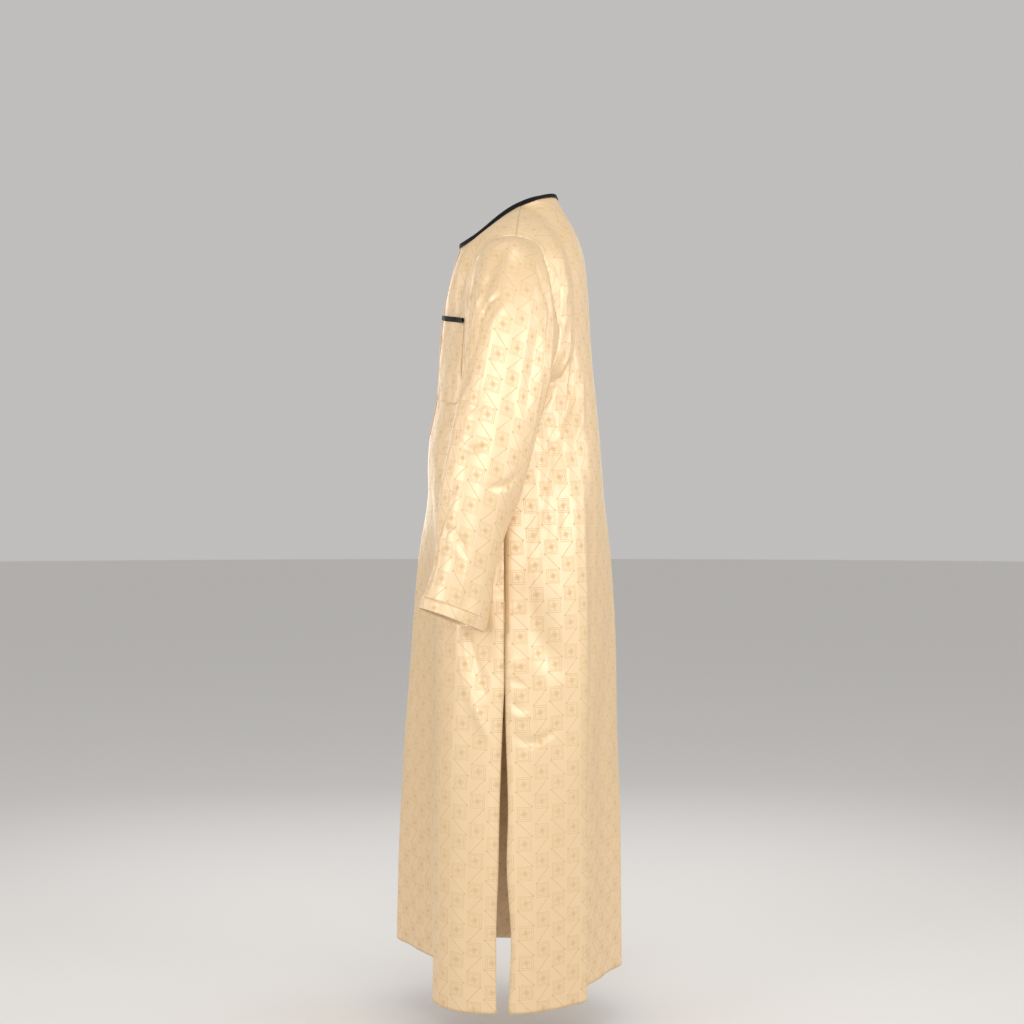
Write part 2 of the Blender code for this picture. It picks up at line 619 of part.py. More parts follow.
def make_chest_pocket():
    """A patch pocket with rounded lower corners, and the bound edge along its top."""
    x_share = np.linspace(0, 1, 13)
    drops = np.concatenate([
        np.linspace(POCKET_BAR + SEAM_GAP, POCKET_HEIGHT - POCKET_CORNER, 9),
        POCKET_HEIGHT - POCKET_CORNER * (1 - np.sin(np.radians([30, 60, 90]))),
    ])
    into_corner = np.clip(drops - POCKET_HEIGHT + POCKET_CORNER, 0, POCKET_CORNER)
    inset = POCKET_CORNER - np.sqrt(np.maximum(POCKET_CORNER ** 2 - into_corner ** 2, 0))
    inset = np.minimum(inset, 0.75 * POCKET_CORNER)
    width = POCKET_WIDTH + POCKET_FLARE * drops / POCKET_HEIGHT - 2 * inset
    x = POCKET_INNER_X + inset[:, None] + width[:, None] * x_share
    z = POCKET_TOP_Z - POCKET_TILT * (x - POCKET_INNER_X) - drops[:, None]
    grid = lying_on_front(x, z, POCKET_GAP + TRIM)
    make_piece("chest_pocket", grid, SATIN, TRIM, flip=True)
    x = np.repeat(POCKET_INNER_X + POCKET_WIDTH * x_share[None, :], 3, axis=0)
    drops = np.array([[0.0], [0.5], [1.0]]) * POCKET_BAR
    z = POCKET_TOP_Z - POCKET_TILT * (x - POCKET_INNER_X) - drops
    grid = lying_on_front(x, z, POCKET_GAP + POCKET_BAR_WALL)
    make_piece("pocket_binding", grid, BLACK, POCKET_BAR_WALL, flip=True)


def make_placket():
    """The plain strip that covers the front opening, from the neck down the chest."""
    end = 1 + (PLACKET_END_Z - UNDERARM_Z) / (HEM_Z - UNDERARM_Z)
    upper = np.linspace(0, 1, ARMHOLE_ROWS + 1) ** TOP_CROWDING
    upper[0] = 0.01
    down = np.concatenate([upper, [1 + 1 / SKIRT_ROWS, end]])
    z = panel_point(np.zeros_like(down), down, False)[:, 2]
    x, z = np.meshgrid(PLACKET_WIDTH * np.array([0.5, 0.0, -0.5]), z)
    grid = lying_on_front(x, z, LYING_GAP + TRIM)
    make_piece("front_placket", grid, SATIN, TRIM)


for old in list(bpy.data.objects):
    bpy.data.objects.remove(old, do_unlink=True)
ROBE = bpy.data.collections.new("thobe_robe")
bpy.context.scene.collection.children.link(ROBE)
make_panels()
make_sleeves()
make_neck_binding()
make_chest_pocket()
make_placket()
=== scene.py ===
"""The thobe robe, dressed: its satin jacquard, bindings, turned hems and stitches.

Units are metres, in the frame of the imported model. The origin is the centre of the neck opening,
the robe faces -Y, and its left side is +X.
"""

import math

import bpy
import numpy as np
from mathutils.kdtree import KDTree
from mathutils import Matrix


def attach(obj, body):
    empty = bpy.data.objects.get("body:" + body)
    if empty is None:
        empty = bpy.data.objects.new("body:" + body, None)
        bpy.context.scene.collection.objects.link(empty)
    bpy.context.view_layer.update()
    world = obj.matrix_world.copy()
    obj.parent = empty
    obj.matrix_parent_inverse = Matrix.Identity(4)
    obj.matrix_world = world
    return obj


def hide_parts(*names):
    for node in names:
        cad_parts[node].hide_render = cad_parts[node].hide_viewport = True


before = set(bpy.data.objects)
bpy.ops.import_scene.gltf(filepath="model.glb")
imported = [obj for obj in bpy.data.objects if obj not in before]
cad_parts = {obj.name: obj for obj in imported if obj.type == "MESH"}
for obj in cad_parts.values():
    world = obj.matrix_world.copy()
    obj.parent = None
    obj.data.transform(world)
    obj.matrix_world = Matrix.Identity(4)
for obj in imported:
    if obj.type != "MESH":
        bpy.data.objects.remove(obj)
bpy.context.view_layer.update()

# Gaps between sewn pieces
SEAM_GAP = 0.0005       # edge to edge
NECK_GAP = 0.0010       # between the neckline and its binding

# Neck opening: an oval that leans forward
NECK_HALF_WIDTH = 0.085
NECK_HALF_LENGTH = 0.088
NECK_CENTRE_Y = 0.0023
NECK_CENTRE_Z = -0.0085
NECK_LEAN = 0.52        # rise per metre towards the back
NECK_HUMP = 0.006       # the sides of the oval arch up
NECK_SEAM_TURN = math.radians(103)   # where the shoulder seam meets the neck, from the front
NECK_DIP = 0.0135       # how much lower the cloth lies beside the neck's front
NECK_DIP_Y = -0.052     # where it is deepest
NECK_DIP_LENGTH = 0.045
BINDING_LIFT = 0.8      # how far the front of the binding stands up: 0 lies in line with the cloth
BINDING_WIDTH = 0.007
NECK_TRIM = BINDING_WIDTH + NECK_GAP     # from the rim of the binding to the neckline

# Body
HEM_Z = -1.4157
UNDERARM_Z = -0.335
SHARE_OF_NECK = 0.5     # of a panel's columns at the top; the others end at the shoulder
SHOULDER_ARCH = 0.006
SHOULDER_GAP = 0.0010   # the two walls meet at a slight ridge here
SHOULDER_PULL = 0.56    # how far the cloth runs level over the shoulder before it falls
NECK_FADE = 0.75        # how far down the armhole the neckline still shapes the panel
SHOULDER_FADE = 0.62    # how far down the armhole the shoulder still shapes the panel
EDGE_CROWDING = 0.6     # columns stand closer towards a panel's edges
TOP_CROWDING = 1.35     # rows stand closer towards the shoulder

# Chest pocket and front placket
POCKET_INNER_X = 0.036
POCKET_WIDTH = 0.124
POCKET_FLARE = 0.008    # how much wider its foot is
POCKET_TOP_Z = -0.190
POCKET_TILT = 0.160     # fall of the top edge per metre outwards
POCKET_HEIGHT = 0.154
POCKET_CORNER = 0.026
POCKET_BAR = 0.008
PLACKET_WIDTH = 0.030
PLACKET_END_Z = -0.408
CUFF_DEPTH = 0.020

# The middle of the body at each height, and how much of the section has turned into the hem's
BODY = [
    # z, front_y, back_y, side_x, squareness, hem_share
    (0.036, -0.080, 0.0915, 0.222, 2.0, 0.00),
    (-0.002, -0.083, 0.1114, 0.222, 2.0, 0.00),
    (-0.021, -0.084, 0.1234, 0.222, 2.0, 0.00),
    (-0.054, -0.0865, 0.1385, 0.222, 2.0, 0.00),
    (-0.090, -0.0965, 0.1470, 0.221, 2.0, 0.00),
    (-0.137, -0.1077, 0.1512, 0.220, 2.0, 0.00),
    (-0.193, -0.1208, 0.1543, 0.219, 1.9, 0.00),
    (-0.250, -0.1264, 0.1575, 0.218, 1.85, 0.00),
    (-0.335, -0.1304, 0.1642, 0.218, 1.85, 0.00),
    (-0.440, -0.1480, 0.1726, 0.222, 2.15, 0.03),
    (-0.534, -0.1515, 0.1780, 0.226, 2.4, 0.25),
    (-0.626, -0.1500, 0.1828, 0.229, 2.5, 0.46),
    (-0.720, -0.1470, 0.1876, 0.232, 2.6, 0.58),
    (-0.883, -0.1450, 0.1940, 0.237, 2.6, 0.72),
    (-1.094, -0.1490, 0.2015, 0.243, 2.6, 0.87),
    (-1.260, -0.1530, 0.2098, 0.247, 2.6, 0.95),
    (HEM_Z, -0.1550, 0.2150, 0.250, 2.6, 1.00),
]

# The side seam runs down to the slit, whose two edges then part. The right one is drawn
# forward, as in a step.
SLIT_TOP_Z = -0.827
SIDE = [
    # z, front_y, back_y, right_forward
    (UNDERARM_Z, 0.0020, 0.0020, 0.000),
    (-0.450, -0.0015, -0.0015, 0.002),
    (-0.600, -0.0037, -0.0037, 0.008),
    (SLIT_TOP_Z, -0.0037, -0.0037, 0.020),
    (-0.910, -0.0073, -0.0030, 0.026),
    (-1.070, -0.0128, 0.0012, 0.036),
    (-1.160, -0.0145, -0.0010, 0.041),
    (-1.290, -0.0186, 0.0062, 0.047),
    (HEM_Z, -0.0182, 0.0015, 0.050),
]

# The hem of each panel from the left side (across 1) to the right side (across -1)
FRONT_HEM = [
    # across, x, y, lift
    (1.00, 0.250, -0.0182, 0.000),
    (0.82, 0.234, -0.081, 0.000),
    (0.66, 0.208, -0.114, 0.000),
    (0.50, 0.160, -0.134, 0.000),
    (0.36, 0.112, -0.123, 0.002),
    (0.22, 0.066, -0.114, 0.009),
    (0.08, 0.022, -0.124, 0.019),
    (-0.06, -0.020, -0.1435, 0.025),
    (-0.26, -0.088, -0.185, 0.026),
    (-0.45, -0.156, -0.2185, 0.026),
    (-0.60, -0.200, -0.205, 0.024),
    (-0.76, -0.232, -0.160, 0.016),
    (-0.88, -0.246, -0.115, 0.006),
    (-1.00, -0.250, -0.068, 0.000),
]
BACK_HEM = [
    # across, x, y, lift
    (1.00, 0.250, 0.0015, 0.000),
    (0.85, 0.2304, 0.0533, 0.000),
    (0.69, 0.2012, 0.1054, 0.000),
    (0.54, 0.170, 0.139, 0.000),
    (0.42, 0.127, 0.129, 0.000),
    (0.28, 0.082, 0.148, 0.000),
    (0.12, 0.034, 0.171, 0.000),
    (-0.05, -0.015, 0.195, 0.000),
    (-0.21, -0.064, 0.217, 0.000),
    (-0.38, -0.120, 0.210, 0.000),
    (-0.52, -0.163, 0.178, 0.000),
    (-0.68, -0.203, 0.128, 0.000),
    (-0.84, -0.238, 0.052, 0.000),
    (-1.00, -0.250, -0.048, 0.000),
]

# The left armhole, from the end of the shoulder seam to the underarm
FRONT_ARMHOLE = [
    # x, y, z
    (0.2220, 0.0154, -0.0733),
    (0.2210, -0.0120, -0.0752),
    (0.2180, -0.0373, -0.0869),
    (0.2140, -0.0498, -0.1040),
    (0.2070, -0.0580, -0.1330),
    (0.2000, -0.0650, -0.1845),
    (0.1970, -0.0710, -0.2300),
    (0.1990, -0.0660, -0.2750),
    (0.2080, -0.0400, -0.3150),
    (0.2180, 0.0020, UNDERARM_Z),
]
BACK_ARMHOLE = [
    # x, y, z
    (0.2220, 0.0154, -0.0733),
    (0.2210, 0.0380, -0.0790),
    (0.2170, 0.0569, -0.0900),
    (0.2120, 0.0680, -0.1250),
    (0.2050, 0.0790, -0.1850),
    (0.2000, 0.0910, -0.2400),
    (0.2020, 0.0820, -0.2850),
    (0.2100, 0.0480, -0.3200),
    (0.2180, 0.0020, UNDERARM_Z),
]

# The left sleeve: four points of each ring. The rings stand upright at the armhole and lie
# almost level at the wrist.
SLEEVE = [
    # along, outer_x, outer_z, inner_x, inner_z, front_y, front_z, back_y, back_z
    (0.00, 0.2225, -0.0733, 0.2185, -0.3350, -0.0710, -0.2300, 0.0910, -0.2400),
    (0.07, 0.2680, -0.0880, 0.2290, -0.3400, -0.0710, -0.2350, 0.0910, -0.2450),
    (0.15, 0.3060, -0.1260, 0.2370, -0.3540, -0.0715, -0.2600, 0.0870, -0.2680),
    (0.26, 0.3310, -0.1950, 0.2415, -0.3860, -0.0745, -0.3150, 0.0750, -0.3200),
    (0.38, 0.3430, -0.2800, 0.2440, -0.4300, -0.0835, -0.3800, 0.0580, -0.3850),
    (0.50, 0.3490, -0.3700, 0.2460, -0.4800, -0.0985, -0.4520, 0.0420, -0.4550),
    (0.63, 0.3520, -0.4600, 0.2480, -0.5350, -0.1120, -0.5200, 0.0240, -0.5220),
    (0.76, 0.3540, -0.5450, 0.2500, -0.5950, -0.1190, -0.5850, -0.0020, -0.5880),
    (0.88, 0.3545, -0.6300, 0.2520, -0.6600, -0.1240, -0.6450, -0.0205, -0.6600),
    (1.00, 0.3540, -0.7100, 0.2540, -0.7240, -0.1410, -0.6970, -0.0325, -0.7375),
]
CUFF_LEAN = math.radians(21)    # the forearm slants forward

# Large soft folds of the sleeves: a path through three places, turn in degrees from the outer
# line towards the back
SLEEVE_FOLDS = [
    # name, along_1, turn_1, along_2, turn_2, along_3, turn_3, half_width, depth
    ("front fold", 0.10, -64, 0.22, -66, 0.36, -62, 0.020, 0.0080),
    ("second front fold", 0.12, -22, 0.22, -40, 0.40, -52, 0.020, 0.0070),
    ("rear fold", 0.06, 28, 0.20, 52, 0.45, 48, 0.022, 0.0060),
    ("forearm fold", 0.70, -40, 0.76, -58, 0.80, -72, 0.020, 0.0060),
]
SLEEVE_METRES = (0.68, 0.07)    # of the sleeve along it, and round it in a radian

# Soft folds of the body: a path across and down each panel
BODY_FOLDS = [
    # panel, across_1, down_1, across_2, down_2, across_3, down_3, half_width, depth
    ("back", 0.60, 0.80, 0.72, 1.08, 0.70, 1.22, 0.030, 0.0080),
    ("front", 0.80, 1.30, 0.87, 1.38, 0.92, 1.46, 0.026, 0.0080),
    ("back", 0.93, 1.34, 0.85, 1.41, 0.78, 1.45, 0.028, 0.0070),
    ("front", -0.80, 1.28, -0.88, 1.38, -0.92, 1.47, 0.026, 0.0080),
    ("back", -0.60, 0.85, -0.70, 1.08, -0.72, 1.20, 0.030, 0.0080),
]
PANEL_METRES = (0.33, 1.08)     # of a panel from its centre to its edge, and of the skirt

# Walls of the cloth as it shows
SATIN_WALL = 0.0009
TURNED_WALL = 0.0021    # where a hem is turned up
SLIT_TURNING = 0.012
HEM_TURNING = 0.020
TURNING_STEP = 0.003    # over which a turning's edge shows as a step inside

# Counts of faces
PANEL_STEPS = 136
ARMHOLE_STEPS = 84
SKIRT_STEPS = 176
SLEEVE_ROUND = 144
SLEEVE_STEPS = 208
FOLD_STEPS = 49         # points along a fold

# Seams
SEAM_DIP = 0.0008
SEAM_DIP_WIDTH = 0.0034
PUCKER = 0.00022
PUCKER_WAVE = 0.021
PUCKER_REACH = 0.011
RELAX_ROUNDS = 40
EDGE_STEPS = 2400       # points along a panel's edge, to measure from
SHOULDER_SEAM_GAP = 0.00006
TUCK = 0.009            # seam allowance under the armhole's edge
TUCK_SHARES = (1.0, 0.35)   # of it, where its two rows lie
TUCK_DEPTH = 0.0017     # how far inside the panel's face it lies
STITCH_LIFT = 0.00012   # of the sewing over the cloth
EDGE_REACH = 30         # columns of a panel that are searched beside its side edge

# The opening of the pocket in each side seam
SEAM_POCKET_TOP_Z = -0.606
SEAM_POCKET_END_Z = -0.712
SEAM_POCKET_GAPE = 0.0008

# The figure of the jacquard, in metres of cloth
REPEAT_ACROSS = 0.064
REPEAT_DOWN = 0.051
COLUMN_DROP = 0.0205
STROKE_ACROSS = 0.027
STROKE_DOWN = 0.026
STROKE_WIDTH = 0.0013
DOT_RADIUS = 0.0019
SQUARE_HALF = 0.0132
RING_PITCH = 0.0030
RING_WIDTH = 0.0010
RING_STRENGTH = 1.00
CENTRE_HALF = 0.0034

# Small pieces
BINDING_HALF = 0.0011   # half of a folded binding's thickness
BINDING_WALL = 0.0005
NECK_OVERLAP = 0.0010   # of a binding's legs over the cloth, past its own width
POCKET_OVERLAP = 0.0006
PATCH_WALL = 0.0010
CUFF_WALL = 0.0006
CUFF_THICKNESS = 0.0022
CUFF_PROUD = 0.0007
CUFF_STITCH_DROP = np.array([0.0, 0.0, -0.0022])
POCKET_LIFT = 0.0015
POCKET_GRAIN = (0.012, 0.019)
PLACKET_LIFT = 0.0018
PLACKET_GRAIN = (0.021, 0.009)
SLEEVE_LENGTH = 0.655

# Creases: metres across and down the cloth, from a panel's centre line and the underarm row, or
# from a sleeve's outer line and its head
PANEL_CREASES = [
    # name, across_1, down_1, across_2, down_2, across_3, down_3, width, height, lean
    ("back armpit valley", -0.150, -0.069, -0.159, 0.006, -0.205, 0.075, 0.0100, -0.0066, 0.2),
    ("back armpit valley low", -0.205, 0.075, -0.247, 0.143, -0.264, 0.204, 0.0120, -0.0054, -0.2),
    ("back side valley", -0.264, 0.204, -0.274, 0.253, -0.294, 0.302, 0.0110, -0.0044, 0.0),
    ("back side valley low", -0.294, 0.302, -0.299, 0.351, -0.293, 0.413, 0.0120, -0.0034, 0.0),
    ("back armpit roll", -0.171, -0.102, -0.198, -0.009, -0.239, 0.068, 0.0100, 0.0042, 0.0),
    ("back right of valley", -0.108, -0.037, -0.132, 0.037, -0.187, 0.106, 0.0120, 0.0034, 0.0),
    ("back right of valley low", -0.187, 0.106, -0.224, 0.187, -0.247, 0.266, 0.0140, 0.0030, 0.0),
    ("back blade streak a", -0.212, -0.254, -0.214, -0.211, -0.212, -0.176, 0.0040, 0.0017, 0.0),
    ("back blade streak b", -0.197, -0.251, -0.208, -0.210, -0.208, -0.174, 0.0036, -0.0017, 0.0),
    ("back blade streak c", -0.156, -0.220, -0.192, -0.192, -0.207, -0.165, 0.0040, 0.0018, 0.0),
    ("back blade streak d", -0.118, -0.200, -0.156, -0.162, -0.203, -0.154, 0.0042, -0.0017, 0.0),
    ("back dimple", -0.211, -0.184, -0.209, -0.170, -0.204, -0.150, 0.0052, -0.0030, 0.0),
    ("front pocket mouth hollow", 0.312, 0.295, 0.308, 0.320, 0.310, 0.351, 0.0060, -0.0026, 0.3),
    ("front pocket mouth crease", 0.301, 0.339, 0.309, 0.344, 0.321, 0.350, 0.0028, -0.0012, 0.3),
    ("front pocket foot crease", 0.298, 0.357, 0.310, 0.363, 0.322, 0.369, 0.0032, -0.0016, 0.3),
    ("front pocket foot ridge", 0.302, 0.369, 0.316, 0.375, 0.322, 0.375, 0.0040, 0.0012, 0.0),
    ("back pocket foot crease", -0.344, 0.369, -0.336, 0.375, -0.324, 0.369, 0.0030, -0.0012, 0.2),
    ("back pocket foot ridge", -0.336, 0.381, -0.325, 0.387, -0.307, 0.382, 0.0050, 0.0012, 0.0),
    ("front slit pull", 0.254, 0.421, 0.272, 0.469, 0.295, 0.536, 0.0100, -0.0050, 0.3),
    ("front slit pull ridge", 0.249, 0.489, 0.277, 0.561, 0.304, 0.615, 0.0100, 0.0034, 0.0),
    ("front slit pull ridge high", 0.271, 0.445, 0.287, 0.481, 0.307, 0.517, 0.0070, 0.0010, 0.0),
    ("back slit top ridge", -0.339, 0.479, -0.328, 0.479, -0.314, 0.486, 0.0060, 0.0018, 0.0),
    ("back slit top crease", -0.339, 0.504, -0.333, 0.510, -0.311, 0.517, 0.0050, -0.0022, 0.3),
    ("back slit crescent", -0.340, 0.541, -0.329, 0.553, -0.312, 0.560, 0.0045, -0.0022, 0.3),
    ("back slit ridge", -0.340, 0.559, -0.329, 0.572, -0.308, 0.572, 0.0050, 0.0020, 0.0),
    ("back slit hollow", -0.334, 0.602, -0.305, 0.615, -0.254, 0.598, 0.0080, -0.0028, 0.4),
    ("front waist crease", 0.108, 0.094, 0.161, 0.101, 0.196, 0.107, 0.0028, -0.0016, 0.2),
    ("front shoulder drape", 0.120, -0.276, 0.135, -0.223, 0.139, -0.163, 0.0080, -0.0012, 0.0),
]
SLEEVE_CREASES = [
    # name, across_1, down_1, across_2, down_2, across_3, down_3, width, height, lean
    ("front fold", -0.106, 0.124, -0.189, 0.173, -0.144, 0.252, 0.0090, -0.0062, 0.3),
    ("front fold ridge", -0.065, 0.130, -0.112, 0.195, -0.094, 0.270, 0.0075, 0.0034, 0.0),
    ("second fold", -0.016, 0.134, -0.060, 0.184, -0.060, 0.285, 0.0085, -0.0054, 0.3),
    ("second fold ridge", 0.000, 0.140, -0.019, 0.188, -0.025, 0.301, 0.0100, 0.0028, 0.0),
    ("head highlight", -0.058, 0.107, -0.045, 0.093, -0.030, 0.082, 0.0090, 0.0014, 0.0),
    ("rear hollow", 0.049, 0.051, 0.119, 0.129, 0.125, 0.223, 0.0150, -0.0050, 0.2),
    ("rear hollow low", 0.125, 0.223, 0.149, 0.301, 0.121, 0.360, 0.0130, -0.0042, 0.2),
    ("elbow wrinkle high", -0.076, 0.317, -0.029, 0.328, 0.000, 0.312, 0.0075, -0.0016, 0.2),
    ("elbow wrinkle", -0.065, 0.383, -0.021, 0.396, 0.012, 0.383, 0.0085, -0.0022, 0.2),
    ("elbow wrinkle low", 0.088, 0.398, 0.055, 0.432, 0.019, 0.448, 0.0090, -0.0020, -0.2),
    ("forearm hook", -0.040, 0.565, -0.040, 0.535, -0.022, 0.534, 0.0048, -0.0034, 0.3),
    ("forearm hook leg", -0.022, 0.534, -0.005, 0.550, 0.005, 0.573, 0.0052, -0.0024, -0.2),
    ("forearm hook ridge", -0.026, 0.555, -0.016, 0.563, -0.007, 0.576, 0.0060, 0.0012, 0.0),
    ("cuff ridge", 0.005, 0.577, 0.005, 0.614, 0.005, 0.652, 0.0100, 0.0020, -0.3),
    ("cuff hollow", 0.026, 0.565, 0.026, 0.613, 0.028, 0.652, 0.0110, -0.0016, 0.2),
    ("front low", -0.071, 0.523, -0.060, 0.590, -0.060, 0.641, 0.0080, -0.0016, 0.2),
]

# Colours
GROUND_COLOUR = (0.82, 0.575, 0.31)
GROUND_DRIFT = (0.85, 0.615, 0.35)
FIGURE_COLOUR = (0.64, 0.415, 0.15)
THREAD_COLOUR = (0.80, 0.62, 0.37)
BLACK_COLOUR = (0.004, 0.0035, 0.0042)
BLACK_WORN = (0.008, 0.007, 0.0085)
SHEEN_COLOUR = (1.0, 0.93, 0.80)
SATIN_IOR = 1.80
SATIN_SPECULAR = 0.95
SATIN_GLOSS = 0.20      # metallic share of the ground on the right side

# Studio
FLOOR_Z = -1.519
FLOOR_RADIUS = 30
FLOOR_COLOUR = (0.82, 0.81, 0.795)
CAMERA_PLACE = (3.0, 0.0084, -0.553)
CAMERA_LENS = 1602 / 1024 * 36.0     # 1602 pixels of focal length on a frame 1024 wide
ROOM_COLOUR = (0.94, 0.92, 0.90)
ROOM_STRENGTH = 0.56
LIGHTS = [
    # name, place, aim, width, height, spread in degrees, watts
    ("key_box", (3.35, 0.30, 0.10), (0.25, 0.0, -0.15), 2.6, 1.4, 100, 14.0),
    ("left_front_box", (2.3, -2.7, 0.10), (0.0, -0.05, -0.10), 1.8, 1.4, 100, 11.0),
    ("left_back_box", (2.0, 2.9, 0.10), (0.0, 0.05, -0.10), 1.8, 1.4, 100, 11.0),
    ("front_box", (-0.9, -3.4, 0.1), (0.0, -0.1, -0.20), 1.8, 1.4, 110, 4.5),
    ("back_box", (-0.9, 3.4, 0.1), (0.0, 0.1, -0.20), 1.8, 1.4, 110, 7.0),
    ("far_box", (-3.4, -0.3, 0.1), (-0.25, 0.0, -0.15), 2.6, 1.4, 100, 14.0),
    ("top_box", (0.7, 0.2, 2.9), (0.0, 0.0, -0.2), 2.0, 2.0, 150, 13.0),
]


def columns(table):
    """A table's columns as arrays."""
    return [np.array(column, float) for column in zip(*table)]


def smooth(x, xs, ys):
    """A smooth curve through the points (xs, ys) that never swings past them, read at x."""
    xs, ys = np.asarray(xs, float), np.asarray(ys, float)
    if xs[0] > xs[-1]:
        xs, ys = xs[::-1], ys[::-1]
    step = np.diff(xs)
    slope = np.diff(ys) / step
    tangent = np.zeros(len(xs))
    tangent[0], tangent[-1] = slope[0], slope[-1]
    same = slope[:-1] * slope[1:] > 0
    weight_a, weight_b = 2 * step[1:] + step[:-1], step[1:] + 2 * step[:-1]
    safe_a = np.where(same, slope[:-1], 1.0)
    safe_b = np.where(same, slope[1:], 1.0)
    inner = (weight_a + weight_b) / (weight_a / safe_a + weight_b / safe_b)
    tangent[1:-1] = np.where(same, inner, 0.0)
    x = np.clip(np.asarray(x, float), xs[0], xs[-1])
    k = np.clip(np.searchsorted(xs, x) - 1, 0, len(step) - 1)
    h = step[k]
    t = (x - xs[k]) / h
    return hermite(ys[k], tangent[k], ys[k + 1], tangent[k + 1], t, h)


def along(points, share):
    """The place at a share of a line's length, on a smooth curve through its points."""
    points = np.array(points, float)
    length = running_length(points)
    share = np.asarray(share, float) * length[-1]
    return np.stack([smooth(share, length, points[:, k]) for k in range(3)], -1)


def ease(t):
    """From 0 to 1 with a level start and end."""
    t = np.clip(t, 0.0, 1.0)
    return t * t * (3 - 2 * t)


def hermite(first, first_slope, last, last_slope, t, step):
    """Between two values with a slope at each, at a share t of the step between them."""
    return (
        first * (1 + 2 * t) * (1 - t) ** 2
        + first_slope * step * t * (1 - t) ** 2
        + last * t * t * (3 - 2 * t)
        + last_slope * step * t * t * (t - 1)
    )


def unit(vectors):
    """Vectors along the last axis, made one long."""
    return vectors / np.linalg.norm(vectors, axis=-1, keepdims=True)


def square_to(vectors, way):
    """Vectors with their share along a way of length one taken out."""
    return vectors - way * (vectors * way).sum(-1, keepdims=True)


def running_length(points):
    """How far along a line each of its points lies."""
    return np.concatenate([[0], np.cumsum(np.linalg.norm(np.diff(points, axis=0), axis=1))])


def smoothed_ring(values, weight):
    """A ring of values, each drawn towards its two neighbours."""
    return (np.roll(values, 1, 0) + weight * values + np.roll(values, -1, 0)) / (weight + 2)


def search_tree(places):
    """A search for the nearest of some places."""
    tree = KDTree(len(places))
    for index, place in enumerate(places):
        tree.insert(place, index)
    tree.balance()
    return tree


def neck_loop(turn, out=0.0, down=0.0):
    """A point of the neck oval, from the centre front at turn 0 towards the robe's left."""
    turn = np.asarray(turn, float)
    y = NECK_CENTRE_Y - (NECK_HALF_LENGTH + out) * np.cos(turn)
    z = NECK_CENTRE_Z + NECK_LEAN * (y - NECK_CENTRE_Y) + NECK_HUMP * np.sin(turn) ** 2
    return np.stack([(NECK_HALF_WIDTH + out) * np.sin(turn), y, z - down], -1)


def neck_edge(turn, width):
    """The neck oval moved outwards over the cloth by a width."""
    sideways = np.abs(np.sin(turn))
    out = width * (0.30 + 0.56 * sideways)
    down = width * (0.78 - 0.38 * sideways)
    y_down = NECK_LEAN * out * np.cos(turn)
    return neck_loop(turn, out, down - y_down)


def neckline_and_shoulder(across, back):
    """The top edge of a panel: neckline in the middle, shoulder seams on both sides."""
    size = np.abs(across)
    side = np.where(across < 0, -1.0, 1.0)
    seam_turn = math.pi - NECK_SEAM_TURN if back else NECK_SEAM_TURN
    turn = np.minimum(size / SHARE_OF_NECK, 1.0) * seam_turn
    if back:
        turn = math.pi - turn
    neck = neck_edge(turn, NECK_TRIM)
    corner = neck_edge(np.array(NECK_SEAM_TURN), NECK_TRIM)
    tip = np.array(FRONT_ARMHOLE[0], float)
    t = np.clip((size - SHARE_OF_NECK) / (1 - SHARE_OF_NECK), 0, 1)[..., None]
    seam = corner + (tip - corner) * t
    seam[..., 2] += SHOULDER_ARCH * np.sin(math.pi * t[..., 0])
    seam[..., 1] += (0.5 if back else -0.5) * SHOULDER_GAP
    top = np.where((size < SHARE_OF_NECK - 1e-6)[..., None], neck, seam)
    top[..., 0] *= side
    return top


def neck_dip(points):
    """How much lower points of the front lie beside the neck than a flat neckline's."""
    x, y, z = np.abs(points[..., 0]), points[..., 1], points[..., 2]
    lengthways = np.exp(-((y - NECK_DIP_Y) / NECK_DIP_LENGTH) ** 2)
    sideways = (1 - np.exp(-(x / 0.028) ** 2)) * (1 - ease((x - 0.10) / 0.07))
    return NECK_DIP * lengthways * sideways * ease((z + 0.14) / 0.10)


def body_sizes(z):
    """The body's sizes at a height, read from the BODY table."""
    cols = columns(BODY)
    return [smooth(z, cols[0], column) for column in cols[1:]]


def section(across, centre, edge, squareness, roundness):
    """A row of a panel from its centre line to its edge; roundness 1 turns the edge fully."""
    size = np.abs(across)
    side = np.where(across < 0, -1.0, 1.0)
    crowding = EDGE_CROWDING + (1 - EDGE_CROWDING) * roundness
    reach = np.clip(size + crowding * (np.sin(size * math.pi / 2) - size), 0, 1)
    oval = (1 - reach ** squareness) ** (1 / squareness)
    wave = 0.5 + 0.5 * np.cos(math.pi * reach)
    depth = (1 - roundness) * wave + roundness * oval
    x = side * reach * edge[..., 0]
    y = edge[..., 1] + (centre[..., 1] - edge[..., 1]) * depth
    z = centre[..., 2] + (edge[..., 2] - centre[..., 2]) * reach ** 2
    return np.stack([x, y, z], -1)


def armhole_rows(across, down, back):
    """The part of a panel beside the armhole: down 0 is its top row, 1 the underarm."""
    table = BACK_ARMHOLE if back else FRONT_ARMHOLE
    edge = along(table, down)
    top_z = neck_edge(np.array(math.pi if back else 0.0), NECK_TRIM)[2]
    centre_z = top_z + (UNDERARM_Z - top_z) * down
    front_y, back_y, _, squareness, _ = body_sizes(centre_z)
    centre = np.stack([0 * down, back_y if back else front_y, centre_z], -1)
    start = 0.55 if back else 0.0
    roundness = start + (1 - start) * ease((down - 0.55) / 0.45)
    return section(across, centre, edge, squareness, roundness)


